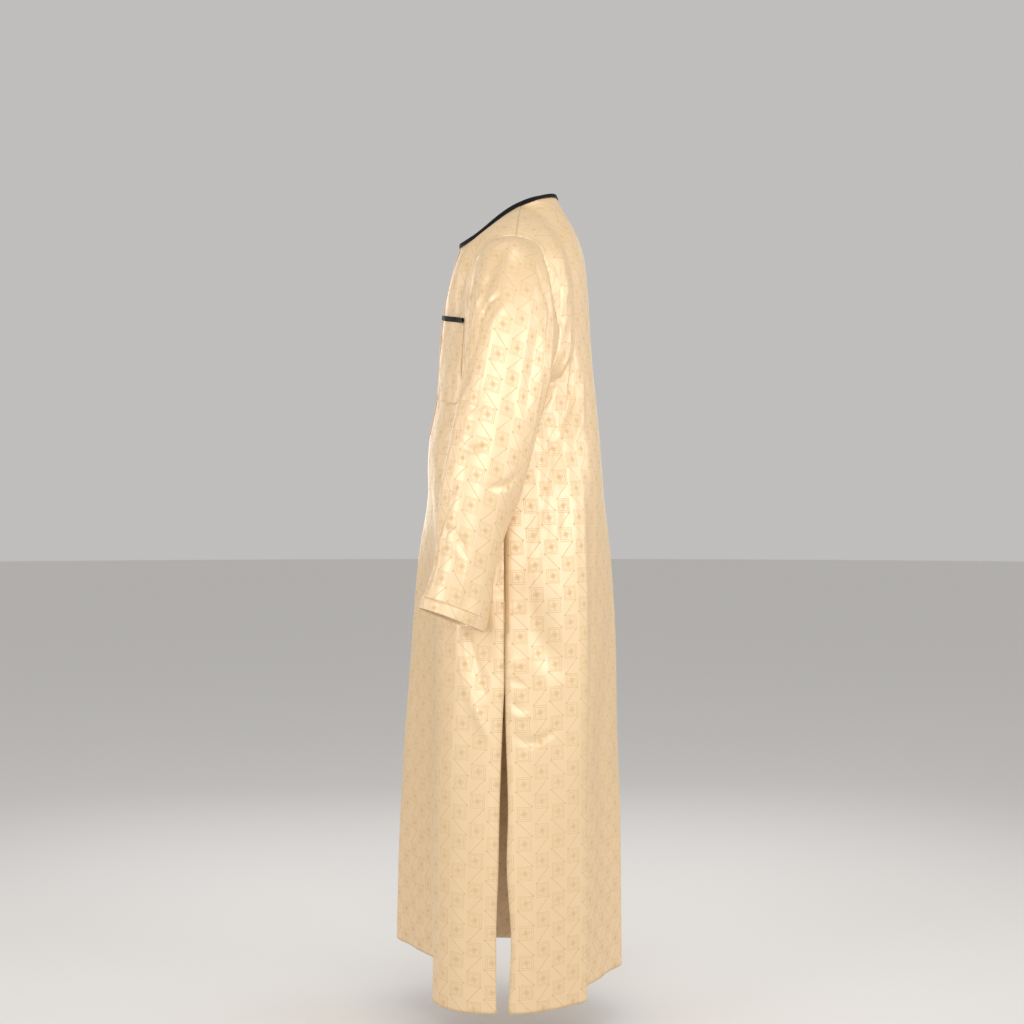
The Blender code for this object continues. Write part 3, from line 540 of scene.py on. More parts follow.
def skirt_rows(across, down, back):
    """The part of a panel below the underarm: down 1 is the underarm, 2 the hem."""
    z = UNDERARM_Z + (HEM_Z - UNDERARM_Z) * (down - 1)
    front_y, back_y, side_x, squareness, hem_share = body_sizes(z)
    side_z, side_front, side_back, right_forward = columns(SIDE)
    edge_y = smooth(z, side_z, side_back if back else side_front)
    edge_y = edge_y - smooth(z, side_z, right_forward) * (across < 0)
    edge = np.stack([side_x, edge_y, z], -1)
    centre = np.stack([0 * z, back_y if back else front_y, z], -1)
    plain = section(across, centre, edge, squareness, np.ones_like(z))
    at, hem_x, hem_y, hem_lift = columns(BACK_HEM if back else FRONT_HEM)
    hem = np.stack([smooth(across, at, hem_x), smooth(across, at, hem_y)], -1)
    share = (hem_share * (1 - np.abs(across) ** 6))[..., None]
    plain[..., :2] += (hem - plain[..., :2]) * share
    plain[..., 2] += smooth(across, at, hem_lift) * np.clip(down - 1, 0, 1) ** 2
    return plain


def fold_depth(u, v, path, half_width, scale):
    """How deep a fold is at (u, v): a soft trough along a path that fades at both ends."""
    path = np.array(path, float)
    fine = np.linspace(0, 1, FOLD_STEPS)
    centre = np.stack([smooth(fine, [0, 0.5, 1], path[:, k]) for k in range(2)], -1)
    gap = np.stack([u, v], -1)[..., None, :] - centre
    gap = gap * np.array(scale)
    far = np.sqrt((gap ** 2).sum(-1))
    nearest = far.argmin(-1)
    across_it = far.min(-1) / half_width
    fade = np.sin(math.pi * np.clip(0.08 + 0.84 * fine[nearest], 0, 1)) ** 0.7
    return np.exp(-1.6 * across_it ** 2) * fade


def normals(grid, wrap):
    """Outward directions of a grid of points, from its neighbours along rows and columns."""
    if wrap:
        along_row = np.roll(grid, -1, 1) - np.roll(grid, 1, 1)
    else:
        along_row = np.gradient(grid, axis=1)
    along_column = np.gradient(grid, axis=0)
    direction = np.cross(along_row, along_column)
    return direction / np.maximum(np.linalg.norm(direction, axis=-1, keepdims=True), 1e-12)


def over_shoulder(across, down, back):
    """The rows beside the shoulder: level at the seam, then falling into the rows below."""
    size = np.abs(across)[..., None]
    side = np.where(across < 0, -1.0, 1.0)
    step = 1e-3
    still = np.zeros_like(down)
    corner = neck_edge(np.array(NECK_SEAM_TURN), NECK_TRIM)
    seam = np.array(FRONT_ARMHOLE[0]) - corner
    seam = seam / np.linalg.norm(seam)
    outwards = 0.8 * (1 - np.clip((size - SHARE_OF_NECK) / (1 - SHARE_OF_NECK), 0, 1))
    level = np.array([0.0, 1.0 if back else -1.0, 0.0])
    pull = SHOULDER_PULL * (outwards * seam + level) / np.sqrt(1 + outwards ** 2)
    pull[..., 0] *= side
    first = armhole_rows(across, still, back)
    fall = (armhole_rows(across, still + step, back) - first) / step
    start = fall + (pull - fall) * ease(size / SHARE_OF_NECK)
    low = armhole_rows(across, still + SHOULDER_FADE, back)
    low_fall = (armhole_rows(across, still + SHOULDER_FADE + step, back) - low) / step
    t = np.clip(down / SHOULDER_FADE, 0, 1)[..., None]
    top = neckline_and_shoulder(across, back)
    return hermite(top, start, low, low_fall, t, SHOULDER_FADE)


def panel_point(across, down, back):
    """A point of a panel's outer face without its small folds."""
    across, down = np.broadcast_arrays(np.asarray(across, float), np.asarray(down, float))
    low_part = np.clip(down, 0, 1)
    upper = armhole_rows(across, low_part, back)
    top = neckline_and_shoulder(across, back)
    first = armhole_rows(across, np.zeros_like(down), back)
    t = np.clip(down / NECK_FADE, 0, 1)
    fade = np.stack([(1 - t) ** 2, (1 - t) ** 2.4, 1 - ease(t)], -1)
    upper = upper + (top - first) * fade
    size = np.abs(across)
    share = ease(size / 0.38) * (1 - ease((size - 0.80) / 0.20)) * (down < SHOULDER_FADE)
    upper = upper + (over_shoulder(across, low_part, back) - upper) * share[..., None]
    lower = skirt_rows(across, np.clip(down, 1, 2), back)
    upper[..., 2] -= neck_dip(upper)
    return np.where((down <= 1)[..., None], upper, lower)


def sleeve_ring(share, turn):
    """A point of the left sleeve; turn 0 is the outer line, and a positive turn goes back."""
    cols = columns(SLEEVE)
    outer_x, outer_z, inner_x, inner_z, front_y, front_z, back_y, back_z = [
        smooth(share, cols[0], column) for column in cols[1:]
    ]
    middle_y = (front_y + back_y) / 2
    outer = np.stack([outer_x, middle_y, outer_z], -1)
    inner = np.stack([inner_x, middle_y, inner_z], -1)
    middle_x = (outer_x + inner_x) / 2
    front = np.stack([middle_x, front_y, front_z], -1)
    back = np.stack([middle_x, back_y, back_z], -1)
    c, s = np.cos(turn)[..., None], np.sin(turn)[..., None]
    middle = (outer + inner) / 2 * c ** 2 + (front + back) / 2 * s ** 2
    return middle + (outer - inner) / 2 * c + (back - front) / 2 * s


def armhole_loop(turn):
    """The armhole at a turn, where the sleeve is set in, moved out by the seam's gap."""
    share = np.abs(np.arctan2(np.sin(turn), np.cos(turn))) / math.pi
    share = share ** TOP_CROWDING
    back = np.sin(turn)[..., None] > 0
    loop = np.where(back, along(BACK_ARMHOLE, share), along(FRONT_ARMHOLE, share))
    loop[..., 0] += SEAM_GAP
    return loop


def sleeve_point(share, turn):
    """The sleeve's outer face: its rings, drawn on to the armhole at the top."""
    share, turn = np.broadcast_arrays(np.asarray(share, float), np.asarray(turn, float))
    ring = sleeve_ring(share, turn)
    first = sleeve_ring(np.zeros_like(share), turn)
    fade = (1 - ease(share / 0.30))[..., None]
    return ring + (armhole_loop(turn) - first) * fade


def on_front(x, z):
    """Where a point of the front panel lies, as (across, down), from its x and z."""
    across, down = x / 0.21, np.clip((z + 0.06) / (UNDERARM_Z + 0.06), 0.05, 1.9)
    step = 1e-4
    for _ in range(12):
        here = panel_point(across, down, False)
        by_across = (panel_point(across + step, down, False) - here) / step
        by_down = (panel_point(across, down + step, False) - here) / step
        miss_x, miss_z = x - here[..., 0], z - here[..., 2]
        size = by_across[..., 0] * by_down[..., 2] - by_down[..., 0] * by_across[..., 2]
        across = across + (miss_x * by_down[..., 2] - by_down[..., 0] * miss_z) / size
        down = down + (by_across[..., 0] * miss_z - miss_x * by_across[..., 2]) / size
    return across, down


def read_grid(values, i, j):
    """A grid's values at fractional rows i and columns j."""
    row = np.clip(np.floor(i).astype(int), 0, values.shape[0] - 2)
    column = np.clip(np.floor(j).astype(int), 0, values.shape[1] - 2)
    a, b = (i - row)[..., None], (j - column)[..., None]
    return (
        (1 - a) * (1 - b) * values[row, column]
        + (1 - a) * b * values[row, column + 1]
        + a * (1 - b) * values[row + 1, column]
        + a * b * values[row + 1, column + 1]
    )


class Face:
    """The outer face of a piece of cloth: a grid of points with its cloth measures."""

    def __init__(self, grid, out, cloth, row_at, column_at):
        self.grid = grid
        self.out = out
        self.cloth = cloth          # across and down the cloth, in metres
        self.row_at = row_at        # the value of each row, rising
        self.column_at = column_at  # the value of each column, rising

    def places(self, row, column):
        """Fractional grid places for values along the rows and the columns."""
        i = np.interp(row, self.row_at, np.arange(len(self.row_at)))
        j = np.interp(column, self.column_at, np.arange(len(self.column_at)))
        return i, j

    def read(self, values, row, column):
        """A grid of values, read at places along the rows and the columns."""
        return read_grid(values, *self.places(row, column))

    def at(self, row, column, lift=0.0):
        """Points on the face, moved out from it by a lift."""
        i, j = self.places(row, column)
        out = unit(read_grid(self.out, i, j))
        return read_grid(self.grid, i, j) + out * np.asarray(lift)[..., None]


def crease_heights(across, down, creases):
    """The heights of soft creases over a face; each follows a bent path of its own."""
    heights = np.zeros_like(across)
    t = np.linspace(0, 1, 65)
    for number, (_, a1, d1, a2, d2, a3, d3, width, height, lean) in enumerate(creases):
        path = np.stack([smooth(t, [0, 0.5, 1], stops) for stops in ([a1, a2, a3], [d1, d2, d3])], -1)
        low, high = path.min(0) - 3 * width, path.max(0) + 3 * width
        near = (across > low[0]) & (across < high[0]) & (down > low[1]) & (down < high[1])
        if not near.any():
            continue
        way = unit(np.gradient(path, axis=0))
        gap = np.stack([across[near], down[near]], -1)[:, None, :] - path
        far = (gap ** 2).sum(-1)
        k = far.argmin(-1)
        picked = np.arange(len(k))
        side = way[k, 0] * gap[picked, k, 1] - way[k, 1] * gap[picked, k, 0]
        spread = width * (0.62 + 0.5 * np.sin(math.pi * t[k]) + 0.10 * np.sin(5 * t[k] + number))
        slant = 1 + lean * np.tanh(1.5 * side / spread)
        profile = np.exp(-1.7 * far[picked, k] / spread ** 2) * slant
        fade = np.sin(math.pi * np.clip(0.05 + 0.90 * t[k], 0, 1)) ** 0.8
        uneven = 1 + 0.16 * np.sin(7.3 * t[k] + 1.9 * number)
        heights[near] += height * profile * fade * uneven
    return heights


def echo(crease):
    """The like of a crease on the other half: lower, a little wider and slightly moved."""
    name, a1, d1, a2, d2, a3, d3, width, height, lean = crease
    moved = (a1, d1 + 0.014, a2 - 0.008, d2 + 0.020, a3 + 0.006, d3 + 0.026)
    return name, *moved, 1.15 * width, 0.78 * height, lean


def soft_waves(across, down, seed, shortest, longest):
    """Low uneven waves that run down the cloth, between -1 and 1."""
    rng = np.random.default_rng(seed)
    total = np.zeros_like(across)
    for _ in range(7):
        length = rng.uniform(shortest, longest)
        lean = rng.uniform(-0.16, 0.16)
        start = rng.uniform(0, 2 * math.pi)
        bend = rng.uniform(0.5, 1.2)
        size = rng.uniform(0.4, 1.0)
        wander = bend * np.sin(2 * math.pi * down / rng.uniform(0.45, 0.9) + start)
        total += size * np.sin(2 * math.pi * (across + lean * down) / length + start + wander)
    return total / 3.5


def seam_puckers(along_seam, gap, seed):
    """Small puckers that a seam draws into the cloth beside it, between -1 and 1."""
    rng = np.random.default_rng(seed)
    start, other = rng.uniform(0, 2 * math.pi, 2)
    wander = 1.3 * np.sin(2 * math.pi * along_seam / 0.11 + other)
    wave = np.sin(2 * math.pi * along_seam / PUCKER_WAVE + start + wander)
    size = 0.55 + 0.45 * np.sin(2 * math.pi * along_seam / 0.17 + start)
    return wave * size * np.exp(-gap / PUCKER_REACH)


def seam_dip(gap):
    """How deep the cloth is drawn in beside a seam at a gap from it."""
    return SEAM_DIP * np.exp(-(gap / SEAM_DIP_WIDTH) ** 2)


def panel_cloth_measures(grid, across, down, back):
    """Across and down the cloth of a panel, in metres, from its centre line and the underarm."""
    middle = grid.shape[1] // 2
    row_step = np.linalg.norm(np.diff(grid[..., :2], axis=1), axis=-1)
    arc = np.concatenate([np.zeros((len(grid), 1)), np.cumsum(row_step, axis=1)], 1)
    arc = arc[:, middle:middle + 1] - arc
    flat = grid[..., 0]
    turned = ease((down - 0.05) / 0.40)
    sideways = flat * (1 - turned) + arc * turned
    column_step = np.diff(grid, axis=0)
    upper = np.linalg.norm(column_step[..., 1:], axis=-1)
    lower = np.linalg.norm(column_step, axis=-1)
    length = np.where(down[1:] <= 1, upper, lower)
    lengthways = np.concatenate([np.zeros((1, grid.shape[1])), np.cumsum(length, axis=0)])
    lengthways = lengthways - lengthways[ARMHOLE_STEPS]
    return np.stack([-sideways if back else sideways, lengthways], -1)


def gap_from(points, line):
    """How far each point of a grid is from a line of points."""
    fine = np.linspace(0, len(line) - 1, EDGE_STEPS)
    line = np.stack([np.interp(fine, np.arange(len(line)), line[:, k]) for k in range(3)], -1)
    tree = search_tree(line)
    gaps = np.array([tree.find(point)[2] for point in points.reshape(-1, 3)])
    return gaps.reshape(points.shape[:2])


def panel_face(back):
    """A panel's outer face with its drape, creases, seams and puckers."""
    column = np.linspace(-1, 1, PANEL_STEPS + 1)
    column = -(column + 0.10 * np.sin(math.pi * column))
    for corner in (-SHARE_OF_NECK, SHARE_OF_NECK):
        column[np.abs(column - corner).argmin()] = corner
    upper = np.linspace(0, 1, ARMHOLE_STEPS + 1) ** 1.15
    lower = np.linspace(1, 2, SKIRT_STEPS + 1)[1:]
    row = np.concatenate([upper, lower])
    across, down = np.meshgrid(column, row)
    grid = panel_point(across, down, back)
    grid = relaxed(grid, 1 - ease((down - 0.85) / 0.25), RELAX_ROUNDS)
    out = normals(grid, False) * (-1 if back else 1)
    name = "back" if back else "front"
    press = np.zeros_like(across)
    for panel, *path, half_width, depth in BODY_FOLDS:
        if panel == name:
            places = [path[0:2], path[2:4], path[4:6]]
            press -= depth * fold_depth(across, down, places, half_width, PANEL_METRES)
    cloth = panel_cloth_measures(grid, across, down, back)
    sideways, lengthways = cloth[..., 0], cloth[..., 1]
    creases = [crease for crease in PANEL_CREASES if crease[0].startswith(name)]
    press += crease_heights(sideways, lengthways, creases)
    press += crease_heights(-sideways, lengthways, [echo(crease) for crease in creases])
    hang = ease((lengthways + 0.02) / 0.9)
    press += (0.0006 + 0.0030 * hang) * soft_waves(sideways, lengthways, 11 + back, 0.10, 0.24)
    press += 0.0006 * soft_waves(sideways, lengthways, 31 + back, 0.035, 0.07)
    edge_gap = np.minimum(gap_from(grid, grid[:, 0]), gap_from(grid, grid[:, -1]))
    sewn = (grid[..., 2] > SLIT_TOP_Z) * ease((grid[..., 2] - SLIT_TOP_Z) / 0.012)
    press -= seam_dip(edge_gap) * sewn
    press += PUCKER * seam_puckers(lengthways, edge_gap, 51 + back) * (0.3 + 0.4 * sewn)
    top_gap = lengthways - lengthways[:1]
    shoulder = ease((np.abs(across) - SHARE_OF_NECK) / 0.03)
    press -= seam_dip(top_gap) * shoulder
    press += 0.6 * PUCKER * seam_puckers(sideways, top_gap, 71 + back)
    hem_gap = lengthways[-1:] - lengthways
    press += 0.9 * PUCKER * seam_puckers(sideways, np.abs(hem_gap - HEM_TURNING), 91 + back)
    grid = grid + out * press[..., None]
    side = np.where(np.abs(across) > 0.9999, 0.5 * SEAM_GAP, 0.0) * (down >= 1)
    grid[..., 1] += side if back else -side
    gape = seam_pocket_gape(grid[..., 2]) * np.exp(-(edge_gap / 0.009) ** 2)
    if not back:
        grid[..., 1] -= gape
        grid[..., 0] += 0.35 * gape * np.sign(across)
    out = normals(grid, False) * (-1 if back else 1)
    face = Face(grid, out, cloth, row, -column)
    slit_turned = ease((SLIT_TURNING + TURNING_STEP - edge_gap) / TURNING_STEP)
    slit_turned = slit_turned * ease((SLIT_TOP_Z + 0.01 - grid[..., 2]) / 0.01)
    hem_turned = ease((HEM_TURNING + TURNING_STEP - hem_gap) / TURNING_STEP)
    face.turned = np.maximum(slit_turned, hem_turned)
    face.edge_gap = edge_gap
    face.hem_gap = hem_gap
    return face


def relaxed(grid, weight, rounds):
    """A grid of points whose ridges are softened, moved only in and out of the cloth."""
    grid = grid.copy()
    for _ in range(rounds):
        near = (grid[:-2, 1:-1] + grid[2:, 1:-1] + grid[1:-1, :-2] + grid[1:-1, 2:]) / 4
        out = normals(grid, False)[1:-1, 1:-1]
        pull = ((near - grid[1:-1, 1:-1]) * out).sum(-1, keepdims=True) * out
        grid[1:-1, 1:-1] += 0.8 * weight[1:-1, 1:-1, None] * pull
    return grid


def close_shoulders(front, back):
    """Draws the front and the back together along the shoulder seams."""
    seam = np.abs(front.column_at) > SHARE_OF_NECK - 1e-6
    middle = front.grid[0] / 2 + back.grid[0] / 2
    for face in (front, back):
        short = face.grid[0] - middle
        length = np.maximum(np.linalg.norm(short, axis=-1, keepdims=True), 1e-9)
        short = short * (1 - SHOULDER_SEAM_GAP / length) * seam[:, None]
        near = np.exp(-((face.cloth[..., 1] - face.cloth[:1, :, 1]) / 0.007) ** 2)
        face.grid -= short * near[..., None]


def seam_pocket_gape(z):
    """How far the pocket's opening in the side seam stands open at a height."""
    t = np.clip((SEAM_POCKET_TOP_Z - z) / (SEAM_POCKET_TOP_Z - SEAM_POCKET_END_Z), 0, 1)
    return SEAM_POCKET_GAPE * np.sin(math.pi * t) ** 0.6


def sleeve_face():
    """The left sleeve's outer face with its creases, seams and puckers."""
    turn = np.linspace(-math.pi, math.pi, SLEEVE_ROUND + 1)
    share = np.linspace(0, 1, SLEEVE_STEPS + 1) ** 0.95
    along_sleeve, around = np.meshgrid(share, turn, indexing="ij")
    grid = sleeve_point(along_sleeve, around)
    ring = grid[:, :-1]
    out = -normals(ring, True)
    out = np.concatenate([out, out[:, :1]], 1)
    press = np.zeros_like(around)
    for _, *path, half_width, depth in SLEEVE_FOLDS:
        places = [(path[k], math.radians(path[k + 1])) for k in (0, 2, 4)]
        press -= depth * fold_depth(along_sleeve, around, places, half_width, SLEEVE_METRES)
    middle = SLEEVE_ROUND // 2
    step = np.linalg.norm(np.diff(grid, axis=1), axis=-1)
    arc = np.concatenate([np.zeros((len(grid), 1)), np.cumsum(step, axis=1)], 1)
    sideways = arc - arc[:, middle:middle + 1]
    rise = np.linalg.norm(np.diff(grid, axis=0), axis=-1)
    from_cuff = np.cumsum(rise[::-1], axis=0)[::-1]
    from_cuff = np.concatenate([from_cuff, np.zeros((1, grid.shape[1]))])
    lengthways = SLEEVE_LENGTH - from_cuff
    press += crease_heights(sideways, lengthways, SLEEVE_CREASES)
    press += 0.0009 * soft_waves(sideways, lengthways, 5, 0.07, 0.16)
    press += 0.0004 * soft_waves(sideways, lengthways, 6, 0.03, 0.06)
    head_gap = np.linalg.norm(grid - grid[:1], axis=-1)
    seam_place = grid[:, :1] / 2 + grid[:, -1:] / 2
    underarm_gap = np.linalg.norm(grid - seam_place, axis=-1)
    press -= seam_dip(head_gap) + 0.7 * seam_dip(underarm_gap)
    press += 0.5 * PUCKER * seam_puckers(sideways, head_gap, 7)
    press += 0.5 * PUCKER * seam_puckers(lengthways, underarm_gap, 8)
    press += 0.8 * PUCKER * seam_puckers(sideways, from_cuff, 9)
    grid = grid + out * press[..., None]
    grid[:, -1] = grid[:, 0]
    out = -normals(grid[:, :-1], True)
    out = np.concatenate([out, out[:, :1]], 1)
    return Face(grid, out, np.stack([sideways, lengthways], -1), share, turn)


def mirrored_face(face):
    """The right side's face: its columns run the other way round."""
    flip = np.array([-1.0, 1.0, 1.0])
    cloth = face.cloth[:, ::-1] * np.array([-1.0, 1.0])
    grid, out = face.grid[:, ::-1] * flip, face.out[:, ::-1] * flip
    return Face(grid, out, cloth, face.row_at, face.column_at)


def calc(tree, operation, *values, clamp=False):
    """A Math node; each value is a number or another node's output."""
    node = tree.nodes.new("ShaderNodeMath")
    node.operation = operation
    node.use_clamp = clamp
    for socket, value in zip(node.inputs, values):
        if isinstance(value, bpy.types.NodeSocket):
            tree.links.new(value, socket)
        else:
            socket.default_value = value
    return node.outputs[0]


def soft_edge(tree, distance, half_width, softness=0.0005):
    """1 where a distance is inside a half width, with a soft edge."""
    return calc(tree, "MULTIPLY_ADD", distance, -1 / softness, half_width / softness + 0.5, clamp=True)


def stroke(tree, x, y, lean):
    """The slanted stroke with a dot at each end; a lean above 0 falls to the right."""
    length = math.hypot(lean * STROKE_ACROSS, STROKE_DOWN)
    way_x, way_y = lean * STROKE_ACROSS / length, STROKE_DOWN / length
    run = calc(tree, "MULTIPLY_ADD", y, way_y, calc(tree, "MULTIPLY", x, way_x))
    off = calc(tree, "MULTIPLY_ADD", y, -way_x, calc(tree, "MULTIPLY", x, way_y))
    off, run = calc(tree, "ABSOLUTE", off), calc(tree, "ABSOLUTE", run)
    thin, within = soft_edge(tree, off, STROKE_WIDTH / 2), soft_edge(tree, run, length / 2)
    line = calc(tree, "MULTIPLY", thin, within)
    past = calc(tree, "SUBTRACT", run, length / 2)
    square = calc(tree, "MULTIPLY_ADD", past, past, calc(tree, "MULTIPLY", off, off))
    reach = calc(tree, "SQRT", square)
    return calc(tree, "MAXIMUM", line, soft_edge(tree, reach, DOT_RADIUS))


def nested_squares(tree, x, y):
    """Upright squares inside each other round a slanted filled one."""
    size = calc(tree, "MAXIMUM", calc(tree, "ABSOLUTE", x), calc(tree, "ABSOLUTE", y))
    ring = calc(tree, "ABSOLUTE", calc(tree, "WRAP", size, RING_PITCH / 2, -RING_PITCH / 2))
    thin, within = soft_edge(tree, ring, RING_WIDTH / 2), soft_edge(tree, size, SQUARE_HALF)
    rings = calc(tree, "MULTIPLY", thin, within)
    inside = soft_edge(tree, size, CENTRE_HALF * 1.9)
    rings = calc(tree, "MULTIPLY", rings, calc(tree, "SUBTRACT", RING_STRENGTH, inside), clamp=True)
    slant_x = calc(tree, "ABSOLUTE", calc(tree, "MULTIPLY_ADD", y, 0.5, calc(tree, "MULTIPLY", x, 0.87)))
    slant_y = calc(tree, "ABSOLUTE", calc(tree, "MULTIPLY_ADD", x, -0.5, calc(tree, "MULTIPLY", y, 0.87)))
    slanted = calc(tree, "MAXIMUM", slant_x, slant_y)
    edge = calc(tree, "ABSOLUTE", calc(tree, "SUBTRACT", slanted, CENTRE_HALF * 1.45))
    rings = calc(tree, "MAXIMUM", rings, soft_edge(tree, edge, RING_WIDTH / 2))
    return calc(tree, "MAXIMUM", rings, soft_edge(tree, slanted, CENTRE_HALF))


def figure_group():
    """The jacquard's figure: strokes and nested squares by turns, in two mirrored columns."""
    tree = bpy.data.node_groups.new("jacquard_figure", "ShaderNodeTree")
    tree.interface.new_socket("Cloth", in_out="INPUT", socket_type="NodeSocketVector")
    tree.interface.new_socket("Figure", in_out="OUTPUT", socket_type="NodeSocketFloat")
    start = tree.nodes.new("NodeGroupInput")
    end = tree.nodes.new("NodeGroupOutput")
    split = tree.nodes.new("ShaderNodeSeparateXYZ")
    tree.links.new(start.outputs["Cloth"], split.inputs[0])
    figure = None
    for lean, column, drop in ((1.0, 0.0, 0.0), (-0.85, REPEAT_ACROSS / 2, -COLUMN_DROP)):
        x = calc(tree, "WRAP", calc(tree, "SUBTRACT", split.outputs[0], column),
                 REPEAT_ACROSS / 2, -REPEAT_ACROSS / 2)
        for draw, shift in ((stroke, 0.0), (nested_squares, REPEAT_DOWN / 2)):
            y = calc(tree, "WRAP", calc(tree, "SUBTRACT", split.outputs[1], drop + shift),
                     REPEAT_DOWN / 2, -REPEAT_DOWN / 2)
            part = draw(tree, x, y, lean) if draw is stroke else draw(tree, x, y)
            figure = part if figure is None else calc(tree, "MAXIMUM", figure, part)
    tree.links.new(figure, end.inputs["Figure"])
    return tree


def mix_colour(tree, factor, first, second):
    """A colour between two, by a factor from another node."""
    node = tree.nodes.new("ShaderNodeMix")
    node.data_type = "RGBA"
    tree.links.new(factor, node.inputs["Factor"])
    for socket, colour in ((node.inputs["A"], first), (node.inputs["B"], second)):
        if isinstance(colour, bpy.types.NodeSocket):
            tree.links.new(colour, socket)
        else:
            socket.default_value = (*colour, 1)
    return node.outputs["Result"]


def mix_value(tree, factor, first, second):
    """A number between two, by a factor from another node."""
    node = tree.nodes.new("ShaderNodeMapRange")
    tree.links.new(factor, node.inputs["Value"])
    node.inputs["To Min"].default_value = first
    node.inputs["To Max"].default_value = second
    return node.outputs["Result"]


def noise(tree, vector, scale, detail=2.0, roughness=0.5):
    """A noise over a vector, by its factor output."""
    node = tree.nodes.new("ShaderNodeTexNoise")
    tree.links.new(vector, node.inputs["Vector"])
    node.inputs["Scale"].default_value = scale
    node.inputs["Detail"].default_value = detail
    node.inputs["Roughness"].default_value = roughness
    return node.outputs["Fac"]


def stretched(tree, vector, scale):
    """A vector stretched by a scale along each axis."""
    node = tree.nodes.new("ShaderNodeMapping")
    tree.links.new(vector, node.inputs["Vector"])
    node.inputs["Scale"].default_value = scale
    return node.outputs["Vector"]


def bump(tree, height, distance, strength=1.0, below=None):
    """A bump of a height in metres, over another one."""
    node = tree.nodes.new("ShaderNodeBump")
    tree.links.new(height, node.inputs["Height"])
    node.inputs["Distance"].default_value = distance
    node.inputs["Strength"].default_value = strength
    if below is not None:
        tree.links.new(below, node.inputs["Normal"])
    return node.outputs["Normal"]


def cloth_vector(tree):
    """The piece's own cloth measures, in metres."""
    node = tree.nodes.new("ShaderNodeUVMap")
    node.uv_map = "cloth"
    return node.outputs["UV"]


def new_material(name):
    """An empty Principled material, with its node tree and shader."""
    material = bpy.data.materials.new(name)
    material.use_nodes = True
    tree = material.node_tree
    return material, tree, tree.nodes["Principled BSDF"]


def satin_jacquard(name, right_side=True):
    """Champagne satin with a matt, yellower figure; the wrong side is duller."""
    material, tree, shader = new_material(name)
    cloth = cloth_vector(tree)
    group = tree.nodes.new("ShaderNodeGroup")
    group.node_tree = bpy.data.node_groups["jacquard_figure"]
    tree.links.new(cloth, group.inputs["Cloth"])
    worn = mix_value(tree, noise(tree, cloth, 70, 3.0, 0.6), 0.50, 1.15)
    figure = calc(tree, "MULTIPLY", group.outputs["Figure"], worn, clamp=True)
    drift = noise(tree, cloth, 3.1, 2.0)
    ground = mix_colour(tree, drift, GROUND_COLOUR, GROUND_DRIFT)
    colour = mix_colour(tree, figure, ground, FIGURE_COLOUR)
    tree.links.new(colour, shader.inputs["Base Color"])
    ground_rough, figure_rough = (0.42, 0.72) if right_side else (0.62, 0.50)
    tree.links.new(mix_value(tree, figure, ground_rough, figure_rough), shader.inputs["Roughness"])
    ground_gloss = SATIN_GLOSS if right_side else 0.0
    tree.links.new(mix_value(tree, figure, ground_gloss, 0.0), shader.inputs["Metallic"])
    shader.inputs["IOR"].default_value = SATIN_IOR
    shader.inputs["Specular IOR Level"].default_value = SATIN_SPECULAR
    shader.inputs["Sheen Weight"].default_value = 0.04
    shader.inputs["Sheen Roughness"].default_value = 0.40
    shader.inputs["Sheen Tint"].default_value = (*SHEEN_COLOUR, 1)
    rumple = noise(tree, stretched(tree, cloth, (34, 15, 1)), 1.0, 3.0, 0.55)
    normal = bump(tree, rumple, 0.0006)
    streak = noise(tree, stretched(tree, cloth, (150, 26, 1)), 1.0, 2.0)
    normal = bump(tree, streak, 0.00016, below=normal)
    floats = noise(tree, stretched(tree, cloth, (2600, 420, 1)), 1.0, 1.0)
    normal = bump(tree, floats, 0.00003, below=normal)
    normal = bump(tree, figure, 0.00009 if right_side else -0.00009, below=normal)
    tree.links.new(normal, shader.inputs["Normal"])
    return material


def black_binding():
    """Black satin ribbon with a fine slanted weave."""
    material, tree, shader = new_material("black_satin_binding")
    cloth = cloth_vector(tree)
    wave = tree.nodes.new("ShaderNodeTexWave")
    wave.bands_direction = "DIAGONAL"
    wave.inputs["Scale"].default_value = 260
    wave.inputs["Distortion"].default_value = 1.2
    tree.links.new(cloth, wave.inputs["Vector"])
    worn = noise(tree, cloth, 90, 3.0)
    tree.links.new(mix_colour(tree, worn, BLACK_COLOUR, BLACK_WORN), shader.inputs["Base Color"])
    tree.links.new(mix_value(tree, worn, 0.46, 0.60), shader.inputs["Roughness"])
    shader.inputs["Specular IOR Level"].default_value = 0.12
    normal = bump(tree, wave.outputs["Fac"], 0.00006)
    slub = noise(tree, stretched(tree, cloth, (70, 240, 1)), 1.0)
    normal = bump(tree, slub, 0.0003, below=normal)
    tree.links.new(normal, shader.inputs["Normal"])
    return material


def thread(name, colour):
    """Twisted sewing thread."""
    material, tree, shader = new_material(name)
    place = tree.nodes.new("ShaderNodeTexCoord").outputs["Object"]
    fibre = noise(tree, place, 900, 2.0)
    darker = tuple(0.82 * part for part in colour)
    tree.links.new(mix_colour(tree, fibre, colour, darker), shader.inputs["Base Color"])
    shader.inputs["Roughness"].default_value = 0.48
    shader.inputs["Sheen Weight"].default_value = 0.15
    tree.links.new(bump(tree, fibre, 0.0001), shader.inputs["Normal"])
    return material


def finished(piece, node, materials, replaces=True):
    """Gives a piece its materials and its body, and hides the model's part that it replaces."""
    for material in materials:
        piece.data.materials.append(material)
    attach(piece, "root")
    if replaces:
        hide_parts(node)
    return piece


def add_object(name, data):
    """A new object in the scene."""
    thing = bpy.data.objects.new(name, data)
    bpy.context.scene.collection.objects.link(thing)
    return thing


